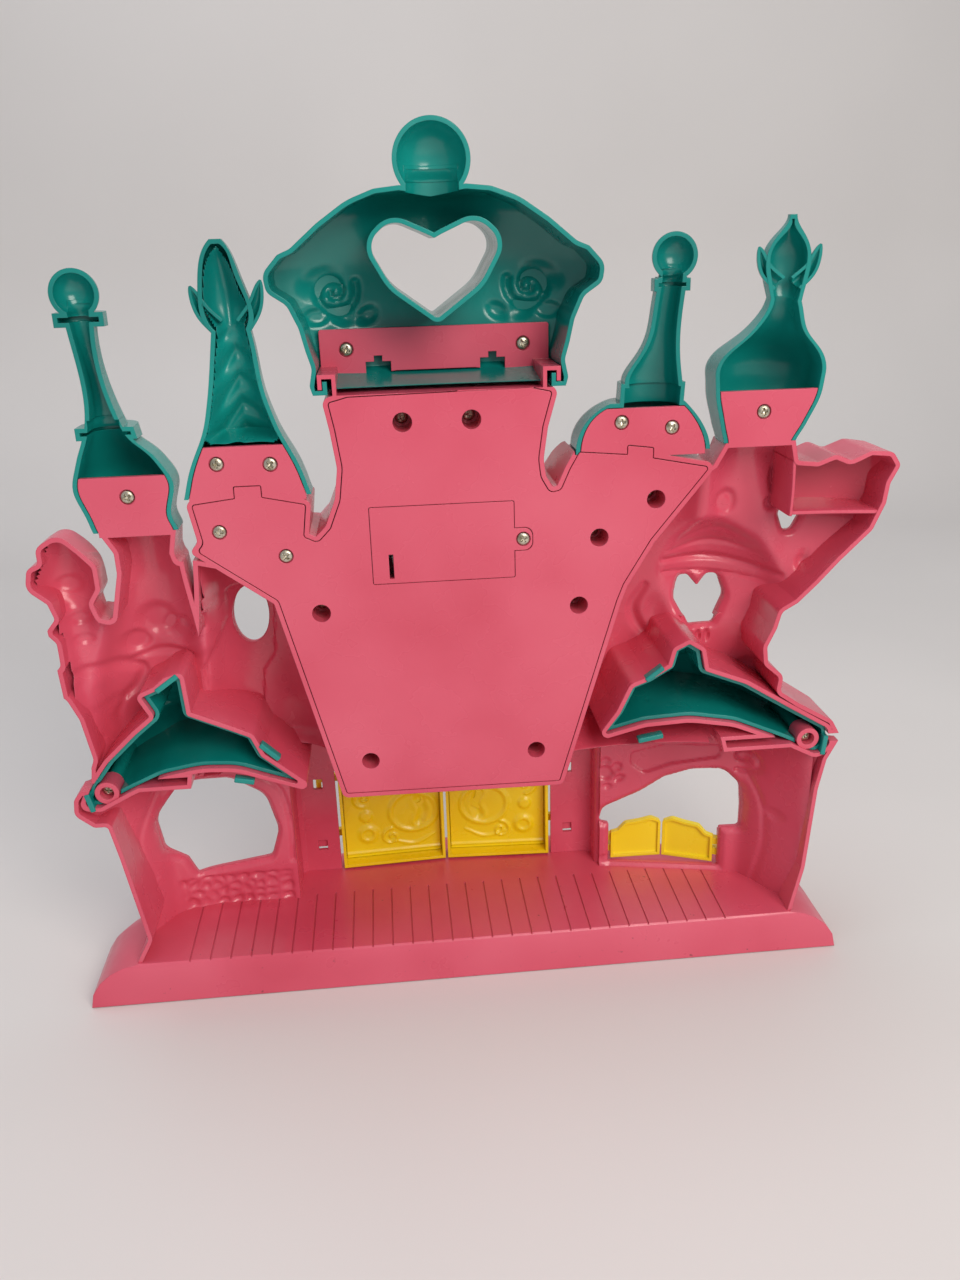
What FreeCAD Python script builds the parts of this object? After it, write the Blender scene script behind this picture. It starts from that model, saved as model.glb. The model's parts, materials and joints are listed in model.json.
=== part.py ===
import FreeCAD, Part
import math
import os

# Toy castle, moulded in pink, teal and yellow plastic, open at the play side.
# Millimetres. +X is to the right as seen from the play side, +Y goes to the street side, +Z is up.
# The origin is the middle of the base's underside.
# In every outline x is measured from the middle of the base and h from the top of the floor.
# A depth t is measured from the rim plane, the flat back of the castle, towards the street.

# Base
BASE_LENGTH = 378.0
BASE_DEPTH = 112.0
FLOOR_H = 21.0
BASE_WALL = 2.2
END_STRAIGHT = 38.0
SKIRT_END = 25.0
SKIRT_STREET = 14.0
LIP_DRAFT = 3.3
PLANK_PITCH = 10.0
PLANK_GROOVE = 0.7
PLANK_GROOVE_DEPTH = 0.6
PLANK_COUNT = 28
RIB_T = 1.8
RIB_PITCH = 36.0
TONGUE_W = 12.0
TONGUE_DROP = 5.0
TONGUE_GAP = 0.15

# The middle of the castle, a little left of the middle of the base
CENTRE_X = -4.5

# Castle shell
RIM_SETBACK = 4.4
WALL = 2.0
PANEL_T = 2.4
COVER_GAP = 0.4
TOY_DEPTH = 100.0
OPEN_BACK = 20.0
SEAT_GAP = 0.05

# Teal mouldings
TEAL_WALL = 1.8
TEAL_GAP = 0.35
ROOF_SETBACK = 3.0

# Screws
SCREW_D = 2.8
SCREW_LEN = 10.0
HEAD_D = 5.6
HEAD_H = 1.9
RECESS_D = 6.4
RECESS_DEPTH = 1.2
BOSS_D = 6.6
WELL_D = 8.2
WELL_WALL = 1.4
WELL_DEPTH = 16.0
HOLE_GAP = 0.3
PILOT_GAP = 0.1
PILOT_SPARE = 2.5

# Battery box, for two AA cells side by side
CELL_D = 14.2
CELL_LEN = 49.0
CELL_TIP_D = 5.5
CELL_TIP = 1.5
CELL_GAP = 0.6
BOX_WALL = 1.6
BATTERY_X = -6.0
BATTERY_H = 205.2
BATTERY_DOOR_W = 62.4
BATTERY_DOOR_HT = 34.2
BATTERY_DOOR_T = 2.0
DOOR_FIT = 0.3
CONTACT_T = 0.4
CONTACT_GAP = 0.05
SPRING_D = 9.0
SPRING_WIRE = 0.8
SPRING_TURNS = 3
SPRING_SIDES = 12
SPRING_BITE = 0.1

# Electronics
BOARD_W = 34.0
BOARD_HT = 26.0
BOARD_T = 1.6
BOARD_BACK = 50.0
POST_D = 3.5
POST_INSET = 2.0
SWITCH_W = 6.0
SWITCH_T = 3.5
PLUNGER_D = 3.4
PLUNGER_T = 1.0
SPEAKER_D = 36.0
SPEAKER_T = 8.0
SPEAKER_H = 112.0
SPEAKER_BACK = 56.0
SPEAKER_CLEAR = 0.3
SPEAKER_HOLE_D = 3.0
SPEAKER_HOLE_RING = 8.0
MAGNET_D = 20.0
MAGNET_T = 3.0
CONE_D_IN = 12.0
CONE_D_OUT = 31.0
CONE_T = 2.5
BUTTON_D = 16.0
BUTTON_H = 148.0
BUTTON_TRAVEL = 2.0
BUTTON_GAP = 0.35
BUTTON_FACE = 76.0
BUTTON_COLLAR = 2.0
BUTTON_GUIDE = 64.5
BUTTON_FLANGE = 1.6
STEM_D = 6.0

# Crown seat: a panel that stands back from the rim plane, and two hooked rails
CROWN_SEAT_H = 270.0
CROWN_PANEL_DEPTH = 30.0
CROWN_PANEL_HT = 24.0
CROWN_WAIST = 52.0
CROWN_FOOT = 52.5
CROWN_SCREW_HALF = 38.5
CROWN_SCREW_H = 285.5
RAIL_W = 7.5
RAIL_HT = 8.5
RAIL_T = 1.7
RAIL_LIP = 3.6
HOOK_GAP = 0.35

# Main doors, each a tray hinged at its outer edge on the street side of the jamb
DOOR_MID = -7.5
DOOR_SILL = 1.0
DOOR_HT = 66.0
DOOR_TRAY = 10.0
DOOR_PANEL = 1.6
DOOR_FLANGE = 1.6
DOOR_GAP = 2.0
DOOR_W = 57.0
DOOR_SIDE_GAP = 1.2
DOOR_TOP_GAP = 1.4
DOOR_FACE = 69.0
DOOR_AJAR = 3.0
DOOR_PIN_D = 3.0
DOOR_PIN_OUT = 10.5
DOOR_PIN_BACK = 2.0
DOOR_LUGS = (18.0, 57.0)

# Side gates, low leaves in the slanting wall at the right
GATE_SILL = 3.0
GATE_HT = 22.0
GATE_THICK = 3.0
GATE_PANEL = 1.4
GATE_EDGE = 1.5
GATE_W = 27.8
GATE_GAP = 1.4
GATE_SHIFT = -3.6
GATE_AJAR = 10.5
GATE_PIN_D = 2.4
GATE_PIN_OUT = 4.6
GATE_PIN_BACK = 1.6
GATE_LUGS = (6.0, 17.0)

# Hinges
PIN_GAP = 0.08
LUG_HT = 4.0
ARM_BITE = 1.0
LUG_WALL = 1.5
LUG_GAP = 0.3
SLOT_W = 5.0
SLOT_HT = 6.0
SLOT_DROP = 1.0
GATE_SLOT_W = 3.0
GATE_SLOT_HT = 5.5

RIM_Y = RIM_SETBACK - BASE_DEPTH / 2
V = FreeCAD.Vector


# Points and outlines

def at(x, t, h):
    """Point from the outlines' own measures: x, depth behind the rim plane, height above the floor."""
    return V(x, RIM_Y + t, FLOOR_H + h)


def signed_area(points):
    total = 0.0
    for (xa, ya, _), (xb, yb, _) in zip(points, points[1:] + points[:1]):
        total += xa * yb - xb * ya
    return total / 2


def inset(points, distance):
    """Parallel outline, moved inwards by a distance, with its corner radii following."""
    if distance == 0:
        return list(points)
    side = 1.0 if signed_area(points) > 0 else -1.0
    moved = []
    count = len(points)
    for i in range(count):
        xa, ya, _ = points[i - 1]
        xb, yb, radius = points[i]
        xc, yc, _ = points[(i + 1) % count]
        la = math.hypot(xb - xa, yb - ya)
        lb = math.hypot(xc - xb, yc - yb)
        ua = ((xb - xa) / la, (yb - ya) / la)
        ub = ((xc - xb) / lb, (yc - yb) / lb)
        cross = ua[0] * ub[1] - ua[1] * ub[0]
        dot = ua[0] * ub[0] + ua[1] * ub[1]
        na = (-ua[1] * side, ua[0] * side)
        nb = (-ub[1] * side, ub[0] * side)
        k = distance / (1 + dot)
        x = xb + (na[0] + nb[0]) * k
        y = yb + (na[1] + nb[1]) * k
        convex = cross * side > 0
        new_radius = radius - distance if convex else radius + distance
        moved.append((x, y, max(new_radius, 0.0) if radius > 0 else 0.0))
    return moved


def outline_wire(points, place):
    """Closed wire of straight runs and corner arcs. place turns a pair of numbers into a point."""
    count = len(points)
    corners = []
    for i in range(count):
        xa, ya, _ = points[i - 1]
        xb, yb, radius = points[i]
        xc, yc, _ = points[(i + 1) % count]
        la = math.hypot(xa - xb, ya - yb)
        lb = math.hypot(xc - xb, yc - yb)
        ua = ((xa - xb) / la, (ya - yb) / la)
        ub = ((xc - xb) / lb, (yc - yb) / lb)
        half = math.acos(max(-1.0, min(1.0, ua[0] * ub[0] + ua[1] * ub[1]))) / 2
        run = min(radius / math.tan(half), 0.46 * la, 0.46 * lb)
        if radius == 0 or run < 0.05 or half > math.radians(89):
            corners.append([(xb, yb)])
            continue
        r = run * math.tan(half)
        bis = (ua[0] + ub[0], ua[1] + ub[1])
        size = math.hypot(*bis)
        reach = run / math.cos(half) - r
        corners.append([
            (xb + ua[0] * run, yb + ua[1] * run),
            (xb + bis[0] / size * reach, yb + bis[1] / size * reach),
            (xb + ub[0] * run, yb + ub[1] * run)])
    edges = []
    for i in range(count):
        here = corners[i]
        after = corners[(i + 1) % count]
        if len(here) == 3:
            edges.append(Part.Arc(place(*here[0]), place(*here[1]), place(*here[2])).toShape())
        edges.append(Part.LineSegment(place(*here[-1]), place(*after[0])).toShape())
    return Part.Wire(edges)


def front_slab(points, t0, t1, distance=0.0):
    """Solid of an outline in the rim plane, from depth t0 to t1."""
    wire = outline_wire(inset(points, distance), lambda x, h: at(x, t0, h))
    return Part.Face(wire).extrude(V(0, t1 - t0, 0))


def plan_block(points, h0, h1, distance=0.0):
    """Solid of an outline seen from above, from height h0 to h1."""
    wire = outline_wire(inset(points, distance), lambda x, t: at(x, t, h0))
    return Part.Face(wire).extrude(V(0, 0, h1 - h0))


def box(x0, x1, t0, t1, h0, h1):
    return Part.makeBox(x1 - x0, t1 - t0, h1 - h0, at(x0, t0, h0))


def rod(x, t, h, diameter, length):
    """Round bar whose axis runs towards the street."""
    return Part.makeCylinder(diameter / 2, length, at(x, t, h), V(0, 1, 0))


def post(x, t, h, diameter, length):
    """Round bar whose axis is upright."""
    return Part.makeCylinder(diameter / 2, length, at(x, t, h), V(0, 0, 1))


def fuse(shapes):
    result = shapes[0]
    if len(shapes) > 1:
        result = result.fuse(shapes[1:])
    return result.removeSplitter()


# Half-round forms, each a stack of U-shaped sections (h, left, right, depth)

NOSE_STEPS = 8
NOSE_SHARE = 0.55
OPEN_RUN = 3.0


def u_wire(h, left, right, depth, back):
    """U-shaped section: straight cheeks, then an elliptical nose towards the street."""
    half = (right - left) / 2
    mid = (right + left) / 2
    nose = min(half, depth * NOSE_SHARE)
    cheek = depth - nose
    points = []
    for i in range(NOSE_STEPS + 1):
        angle = math.pi * i / NOSE_STEPS
        points.append(at(mid - half * math.cos(angle), cheek + nose * math.sin(angle), h))
    curve = Part.BSplineCurve()
    curve.interpolate(points)
    edges = [
        Part.LineSegment(at(left, -back, h), points[0]).toShape(),
        curve.toShape(),
        Part.LineSegment(points[-1], at(right, -back, h)).toShape(),
        Part.LineSegment(at(right, -back, h), at(left, -back, h)).toShape()]
    return Part.Wire(edges)


def slopes(xs, ys):
    """Slopes at the points of a smooth curve that never overshoots them."""
    runs = [(yb - ya) / (xb - xa) for xa, xb, ya, yb in zip(xs, xs[1:], ys, ys[1:])]
    inner = [2 * a * b / (a + b) if a * b > 0 else 0.0 for a, b in zip(runs, runs[1:])]
    return [runs[0]] + inner + [runs[-1]]


def along(xs, ys, x):
    """Value at x of the smooth curve through the points."""
    tangents = slopes(xs, ys)
    i = max(k for k in range(len(xs) - 1) if k == 0 or xs[k] <= x)
    run = xs[i + 1] - xs[i]
    s = (x - xs[i]) / run
    start = (1 + 2 * s) * (1 - s) ** 2 * ys[i] + s * (1 - s) ** 2 * run * tangents[i]
    end = s * s * (3 - 2 * s) * ys[i + 1] + s * s * (s - 1) * run * tangents[i + 1]
    return start + end


def even_rows(sections, low, high):
    """The form's sections at evenly spaced heights from low to high."""
    heights = [row[0] for row in sections]
    step = min(b - a for a, b in zip(heights, heights[1:]))
    count = max(1, round((heights[-1] - heights[0]) / step))
    rows = []
    for i in range(count + 1):
        h = low + (high - low) * i / count
        rows.append([h] + [along(heights, [row[k] for row in sections], h) for k in (1, 2, 3)])
    return rows


def u_form(sections, wall, back, open_low=False, open_high=False):
    """Loft through U sections. With a wall it is the hollow inside, closed or open at each end."""
    low = sections[0][0] + (0.0 if open_low else wall)
    high = sections[-1][0] - (0.0 if open_high else wall)
    rows = even_rows(sections, low, high)
    wires = [u_wire(h, left + wall, right - wall, depth - wall, back) for h, left, right, depth in rows]
    solids = [Part.makeLoft(wires, True, False)]
    if wall > 0 and open_low:
        solids.append(Part.Face(wires[0]).extrude(V(0, 0, -OPEN_RUN)))
    if wall > 0 and open_high:
        solids.append(Part.Face(wires[-1]).extrude(V(0, 0, OPEN_RUN)))
    return fuse(solids)


def ball(x, h, radius, wall):
    """Half-round ball tip, or with a wall the whole ball that hollows it."""
    lowest = -90 if wall > 0 else 0
    return Part.makeSphere(radius - wall, at(x, 0, h), V(0, 1, 0), lowest, 90, 360)


# Outlines in the rim plane: (x, h, corner radius)

LEFT_WING = [
    (20, -10, 0), (-168, -10, 0), (-165, 0, 0), (-158, 13, 4), (-165, 60, 40), (-168, 77, 2),
    (-174, 77, 3), (-182, 84, 5), (-181, 92, 5), (-173, 102, 4), (-169, 112, 5), (-172, 132, 8),
    (-176, 142, 6), (-184, 149, 3),
    (-182, 155, 3), (-176, 157, 4), (-176, 169, 3), (-180, 174, 3), (-175, 180, 2), (-177, 187, 2),
    (-185, 194, 6), (-183, 203, 4), (-178, 205, 2), (-178, 212, 5), (-168, 218, 7), (-160, 210, 6),
    (-154, 203, 6), (-154, 192, 4), (-158, 186, 2), (-156, 179, 3), (-151, 178, 3), (-146, 199, 8),
    (-146, 208, 4), (-151, 217, 0), (-119, 217, 0), (-121, 207, 0), (-120, 203, 3), (-112, 203, 3),
    (-60, 190, 0), (20, 60, 0)]

RIGHT_WING = [
    (-20, -10, 0), (-20, 60, 0), (60, 200, 0), (113, 234, 0), (118, 243, 0), (149, 243, 0), (151, 234, 1),
    (160, 233, 3), (168, 236, 4), (175, 233, 4), (184, 237, 5), (194, 236, 4), (198, 230, 3),
    (194, 222, 4), (193, 213, 4), (188, 201, 5), (174, 187, 5), (165, 177, 5), (156, 168, 4),
    (149, 164, 4), (147, 156, 3), (143, 147, 4), (144, 139, 3), (152, 132, 5), (151, 124, 3),
    (161, 117, 3), (178, 107, 4), (183, 98, 5), (177, 86, 4), (174, 70, 12), (171, 25, 30),
    (166, 0, 0), (168, -10, 0)]

COVER = [
    (-56, 86, 1), (45, 85, 1), (71, 174, 3), (74, 182, 6), (86, 202, 4), (111, 233, 1), (86, 238, 0.5),
    (86, 242.5, 0.5), (75, 244, 0.5), (75, 240, 0.5), (54, 242, 1), (50, 235, 4), (46, 226, 3), (41, 225, 3),
    (37, 232, 8), (36, 240, 14), (38, 254, 12), (42, 268, 1), (33, 270, 1), (-43, 269, 1), (-51, 267, 1),
    (-49, 256, 12), (-47, 240, 14), (-49, 226, 10), (-54, 214, 4), (-60, 208, 3), (-66, 211, 2),
    (-64, 225, 1), (-82, 229, 0.5), (-82, 234, 0.5), (-93, 234, 0.5), (-93, 229, 0.5), (-111, 227, 1),
    (-108, 210, 6), (-111, 207, 2), (-79, 183, 4)]

ROOF_LEFT = [
    (-126, 150, 1), (-125, 131, 2), (-106, 122, 8), (-98, 118, 3), (-94, 108, 3), (-75, 91, 1),
    (-91, 97, 20), (-106, 103, 30), (-122, 104, 40), (-140, 101, 30), (-156, 94, 20), (-170, 87, 4),
    (-177, 88, 3), (-173, 97, 8), (-163, 110, 10), (-149, 123, 8), (-139, 131, 3), (-144, 141, 1),
    (-137, 144, 1), (-132, 148, 1)]

ROOF_RIGHT = [
    (106, 151, 1), (100, 148, 1), (98, 140, 1), (88, 134, 4), (80, 131, 3), (74, 118, 10), (66, 107, 1),
    (86, 112, 20), (108, 113, 40), (130, 109, 30), (155, 98, 20), (172, 89, 4), (178, 94, 4), (176, 103, 4),
    (158, 114, 8), (134, 129, 10), (114, 137, 2), (112, 147, 1)]

# Forms behind the rim plane: (h, left, right, depth)

SMALL_TURRET = [(110, -176, -140, 18), (160, -178, -152, 19), (186, -180, -156, 19)]
SMALL_TURRET_TOP = [
    (180, -187, -152, 20), (194, -186, -153, 22), (205, -182, -154, 20), (220, -176, -160, 12)]
FAR_LEFT_TOWER = [(100, -172, -112, 40), (150, -168, -112, 38), (190, -154, -116, 32), (217, -152, -118, 27)]
LEFT_TOWER = [(70, -134, -50, 50), (150, -120, -55, 50), (200, -114, -58, 44), (229.5, -114, -60, 34)]
MAIN_TOWER = [
    (71, -90, 76, 79), (110, -84, 72, 78), (190, -74, 64, 66), (240, -60, 52, 54),
    (CROWN_SEAT_H, -58, 50, 48)]
RIGHT_TOWER = [(70, 40, 132, 52), (150, 46, 118, 52), (205, 44, 120, 42), (241, 46, 116, 32)]
FAR_RIGHT_TOWER = [(100, 84, 188, 42), (150, 92, 160, 40), (200, 104, 156, 32), (243, 116, 151, 26)]
BALCONY = [(204, 130, 200, 30), (240, 130, 202, 34)]
CORBEL = [(120, 120, 160, 26), (160, 124, 168, 27), (190, 128, 190, 28), (208, 130, 200, 29)]
CANOPY = [(150, 86, 156, 44), (172, 84, 160, 50), (190, 92, 152, 46), (204, 106, 140, 34)]
FRONT_T = 50.0
PORCH_T = 73.0
GATE_WALL = ((76, 59), (152, 43))
LOWER_WALL = [
    (-186, -20, 0), (-186, 6, 4), (-176, 12, 8), (-154, 45, 6), (-134, FRONT_T, 8), (-90, FRONT_T, 2),
    (-90, 70, 3), (-86, PORCH_T, 2), (71, PORCH_T, 2), (76, 70, 3), GATE_WALL[0] + (2,),
    GATE_WALL[1] + (8,), (174, 8, 8), (186, 4, 4), (186, -20, 0)]
LOWER_TOP = 96.0

# Windows, seen square on: (x, h, corner radius)

LEFT_WINDOW = [
    (-140, 20, 1), (-101, 26, 4), (-96, 42, 12), (-101, 63, 12), (-118, 74, 12), (-143, 74, 10),
    (-156, 58, 12), (-154, 38, 8), (-144, 30, 4)]
RIGHT_WINDOW = [
    (81.5, 2, 0), (81.5, 26, 1), (76, 27, 3), (78, 36, 6), (98, 47, 12), (110, 56, 10), (124, 61, 12),
    (140, 62, 10), (149, 53, 8), (150, 40, 20), (150, 27, 2), (140, 26, 1), (140, 2, 0)]
OVAL_WINDOW = (-97.5, 163.0, 8.0, 15.0)
APPLE_WINDOW = [
    (116, 147, 2), (128, 147, 2), (135, 160, 6), (132, 170, 5), (127, 170, 3), (122, 164, 0.6),
    (117, 170, 3), (112, 170, 5), (109, 160, 6)]
DROP_WINDOW = [(152, 207, 3), (166, 207, 3), (160, 196, 3), (156, 196, 3)]

# Screw places (x, h)

DEEP_SCREWS = [(-21, 258), (8, 258), (88, 220), (63, 204), (54, 173), (-61, 176), (-44, 102), (34, 102)]
FLUSH_SCREWS = [(-101, 215), (-74, 203)]

def forms(wall):
    """The castle's street-side shape, or with a wall its hollow inside."""
    solids = [
        plan_block(LOWER_WALL, -1.0 if wall else 0.0, LOWER_TOP - wall, wall),
        u_form(SMALL_TURRET, wall, OPEN_BACK, True, True),
        u_form(SMALL_TURRET_TOP, wall, OPEN_BACK),
        u_form(FAR_LEFT_TOWER, wall, OPEN_BACK),
        u_form(LEFT_TOWER, wall, OPEN_BACK),
        u_form(MAIN_TOWER, wall, OPEN_BACK),
        u_form(RIGHT_TOWER, wall, OPEN_BACK),
        u_form(FAR_RIGHT_TOWER, wall, OPEN_BACK),
        u_form(BALCONY, wall, OPEN_BACK),
        u_form(CORBEL, wall, OPEN_BACK),
        u_form(CANOPY, wall, OPEN_BACK)]
    return fuse(solids)


def castle_shell():
    """Thin-walled front, open at the rim plane, with the closed box for the sound unit."""
    ring = -(COVER_GAP + WALL)
    wings = [LEFT_WING, RIGHT_WING]
    outer = [front_slab(points, 0, TOY_DEPTH) for points in wings]
    outer.append(front_slab(COVER, 0, TOY_DEPTH, ring))
    outer += [front_slab(points, 0, TOY_DEPTH, -WALL) for points in (ROOF_LEFT, ROOF_RIGHT)]
    body = fuse(outer).common(forms(0.0))
    hollow = forms(WALL)
    rooms = fuse([front_slab(points, -1, TOY_DEPTH, WALL) for points in wings]).common(hollow)
    rooms = rooms.cut([
        front_slab(COVER, -2, TOY_DEPTH, ring),
        front_slab(ROOF_LEFT, -2, TOY_DEPTH, -WALL),
        front_slab(ROOF_RIGHT, -2, TOY_DEPTH, -WALL)])
    sound_room = front_slab(COVER, -1, TOY_DEPTH, -COVER_GAP).common(hollow)
    roof_holes = [front_slab(points, -1, TOY_DEPTH) for points in (ROOF_LEFT, ROOF_RIGHT)]
    return body.cut([rooms, sound_room] + roof_holes)


def cover_room():
    """Recess that the cover's plate lies in."""
    return front_slab(COVER, -1, PANEL_T + SEAT_GAP, -COVER_GAP)


def bosses_to_front(places, t, diameter, solid):
    """Round pillars from depth t to the front wall of a form."""
    return [rod(x, t, h, diameter, TOY_DEPTH).common(solid) for x, h in places]


def pilot(x, t, h):
    """Hole that a screw cuts its thread in, for a pillar that starts at depth t."""
    return rod(x, t - 1, h, SCREW_D + PILOT_GAP, SCREW_LEN + PILOT_SPARE)


# Main doors and gates

def hinge_side(side):
    """Edge of the door opening at the hinge, for side -1 at the left and +1 at the right."""
    return DOOR_MID + side * (DOOR_GAP / 2 + DOOR_W)


DOOR_AXIS_T = DOOR_FACE + DOOR_TRAY - DOOR_PIN_BACK
GATE_TURN = math.degrees(math.atan2(GATE_WALL[1][1] - GATE_WALL[0][1], GATE_WALL[1][0] - GATE_WALL[0][0]))
GATE_MID = ((GATE_WALL[0][0] + GATE_WALL[1][0]) / 2, (GATE_WALL[0][1] + GATE_WALL[1][1]) / 2)


def on_gate_wall(shape):
    """Move a shape drawn about the origin of x and t onto the slanting wall."""
    turned = shape.copy()
    turned.rotate(at(0, 0, 0), V(0, 0, 1), GATE_TURN)
    turned.translate(V(GATE_MID[0], GATE_MID[1], 0))
    return turned


def lug(x, t, h, diameter, reach):
    """Bearing block with an upright bore, standing out from a wall at depth t minus reach."""
    half = diameter / 2 + PIN_GAP + LUG_WALL
    block = box(x - half, x + half, t - reach, t + half, h, h + LUG_HT)
    return block.cut(post(x, t, h - 1, diameter + 2 * PIN_GAP, LUG_HT + 2))


def pin_ends(lugs):
    """Height of the pin's lower and upper end, inside the two bearings."""
    return lugs[0] - LUG_HT, lugs[1] + LUG_HT


def leaf_pin(side, edge, t, lugs, diameter, out, face):
    """Hinge pin with two arms that join it to the leaf's edge. face is the leaf's street face."""
    x = edge + side * out
    low, high = pin_ends(lugs)
    pieces = [post(x, t, low, diameter, high - low)]
    for h in (lugs[0] + LUG_GAP, lugs[1] - LUG_GAP - LUG_HT):
        x0, x1 = sorted((x, edge - side * DOOR_FLANGE))
        pieces.append(box(x0, x1, min(t - diameter / 2, face - ARM_BITE), t + diameter / 2, h, h + LUG_HT))
    return pieces


def door(side):
    """Tray-shaped door leaf, open towards the play side, with a bean-shaped finger hole."""
    inner = DOOR_MID + side * DOOR_GAP / 2
    edge = hinge_side(side)
    x0, x1 = sorted((inner, edge))
    low = DOOR_SILL
    high = DOOR_SILL + DOOR_HT
    tray = box(x0, x1, DOOR_FACE, DOOR_FACE + DOOR_TRAY, low, high)
    room = box(x0 + DOOR_FLANGE, x1 - DOOR_FLANGE, DOOR_FACE - 1, DOOR_FACE + DOOR_TRAY - DOOR_PANEL,
               low + DOOR_FLANGE, high - DOOR_FLANGE)
    leaf = tray.cut(room)
    medallion_x = DOOR_MID + side * 23
    raised = rod(medallion_x, DOOR_FACE + DOOR_TRAY - DOOR_PANEL - 1.2, 40, 26, 1.6)
    small = rod(medallion_x + side * 20, DOOR_FACE + DOOR_TRAY - DOOR_PANEL - 1.2, 41, 8, 1.6)
    low_knob = rod(medallion_x + side * 17, DOOR_FACE + DOOR_TRAY - DOOR_PANEL - 1.2, 25, 12, 1.6)
    bean_x = DOOR_MID + side * 15
    bean = [(bean_x - 2.2, 34, 2), (bean_x + 2.2, 34, 2), (bean_x + 2.2 + side, 41, 5), (bean_x + 2.2, 48, 2),
            (bean_x - 2.2, 48, 2), (bean_x - 2.2 + side, 41, 5)]
    leaf = fuse([leaf, raised, small, low_knob] + leaf_pin(
        side, edge, DOOR_AXIS_T, DOOR_LUGS, DOOR_PIN_D, DOOR_PIN_OUT, DOOR_FACE + DOOR_TRAY))
    leaf = leaf.cut(front_slab(bean, DOOR_FACE - 1, DOOR_FACE + DOOR_TRAY + 1))
    leaf.rotate(at(edge + side * DOOR_PIN_OUT, DOOR_AXIS_T, 0), V(0, 0, 1), -side * DOOR_AJAR)
    return leaf


def gate(side):
    """Low gate leaf with a wavy top and a raised border on the play side."""
    inner = GATE_SHIFT + side * GATE_GAP / 2
    edge = inner + side * GATE_W
    top = GATE_SILL + GATE_HT
    outline = [
        (inner, GATE_SILL, 0), (edge, GATE_SILL, 0), (edge, top - 6, 1), (edge - side * 4, top - 5, 2),
        (edge - side * 8, top - 0.5, 3), (edge - side * 16, top + 0.5, 6), (inner + side * 5, top + 2, 4),
        (inner, top - 0.5, 1.5)]
    if side > 0:
        outline = outline[::-1]
    near = -GATE_THICK / 2
    leaf = front_slab(outline, near, near + GATE_THICK)
    leaf = leaf.cut(front_slab(outline, near - 1, near + GATE_THICK - GATE_PANEL, GATE_EDGE))
    axis_t = near + GATE_THICK + GATE_PIN_BACK
    pins = leaf_pin(side, edge, axis_t, GATE_LUGS, GATE_PIN_D, GATE_PIN_OUT, near + GATE_THICK)
    leaf = fuse([leaf] + pins)
    leaf.rotate(at(edge + side * GATE_PIN_OUT, axis_t, 0), V(0, 0, 1), -side * GATE_AJAR)
    return on_gate_wall(leaf)


def hinge_lugs():
    """Bearings of the doors and gates on the street side of the walls."""
    pieces = []
    for side in (-1, 1):
        x = hinge_side(side) + side * DOOR_PIN_OUT
        for h in (DOOR_LUGS[0] - LUG_HT, DOOR_LUGS[1]):
            pieces.append(lug(x, DOOR_AXIS_T, h, DOOR_PIN_D, DOOR_AXIS_T - PORCH_T + 0.5))
        x = GATE_SHIFT + side * (GATE_GAP / 2 + GATE_W + GATE_PIN_OUT)
        t = GATE_THICK / 2 + GATE_PIN_BACK
        for h in (GATE_LUGS[0] - LUG_HT, GATE_LUGS[1]):
            pieces.append(on_gate_wall(lug(x, t, h, GATE_PIN_D, t + 0.5)))
    return pieces


def hinge_slots():
    """Small windows in the jambs, through which the pins can be seen."""
    cuts = []
    for side in (-1, 1):
        x = hinge_side(side) + side * DOOR_PIN_OUT
        for h in (DOOR_LUGS[0] - LUG_HT - SLOT_DROP, DOOR_LUGS[1] - SLOT_HT):
            cuts.append(box(x - SLOT_W / 2, x + SLOT_W / 2, PORCH_T - WALL - 1, PORCH_T, h, h + SLOT_HT))
        x = GATE_SHIFT + side * (GATE_GAP / 2 + GATE_W + GATE_PIN_OUT)
        half = GATE_SLOT_W / 2
        for h in (GATE_LUGS[0] - LUG_HT - SLOT_DROP, GATE_LUGS[1] - SLOT_HT):
            cuts.append(on_gate_wall(box(x - half, x + half, -WALL - 1, 0, h, h + GATE_SLOT_HT)))
    return cuts


# Teal mouldings

SPIRE_FAR_LEFT = [
    ([(217.1, -153, -118, 26), (224, -155, -120, 28), (236, -158.5, -117.5, 30), (247, -155.5, -122.5, 27),
      (257, -151.5, -132, 20), (261, -150.5, -134, 17)], True, True),
    ([(256, -154, -129.5, 21), (261, -154, -130.5, 21)], False, False),
    ([(259, -150.5, -134, 18), (274, -148.5, -138.5, 14), (288, -149.5, -140.5, 11),
      (306, -151.5, -139.5, 11)], True, True),
    ([(300.5, -155.5, -136, 13), (306, -155.5, -136, 13)], False, False)]
BALL_FAR_LEFT = (-146, 313, 9.6)
SPIRE_LEFT = [
    ([(229.6, -114, -61, 30), (241, -110.5, -64.5, 30), (259, -102.5, -72.5, 23), (276, -98.5, -77, 17),
      (291, -96, -78.5, 13), (300, -94.5, -80, 11)], True, True),
    ([(297, -95, -80, 11), (306, -99, -77.5, 13), (313, -98.5, -80.5, 13), (323, -97, -83, 10),
      (331.5, -92, -87.5, 5)], True, False)]
SPIRE_RIGHT = [
    ([(241.1, 52.4, 111, 30), (249, 53.5, 109, 31), (256, 58, 104.5, 27), (262, 67, 99, 20)], True, False),
    ([(261, 71, 98.5, 17), (270, 71.5, 99, 17)], True, False),
    ([(268, 73.5, 98, 16), (279, 76.5, 96.5, 14), (288, 82.5, 96, 12), (312, 86, 98, 11)], True, True),
    ([(306.5, 84.5, 99.5, 12), (311.5, 84.5, 99.5, 12)], False, False)]
BALL_RIGHT = (92.7, 320, 9.4)
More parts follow.
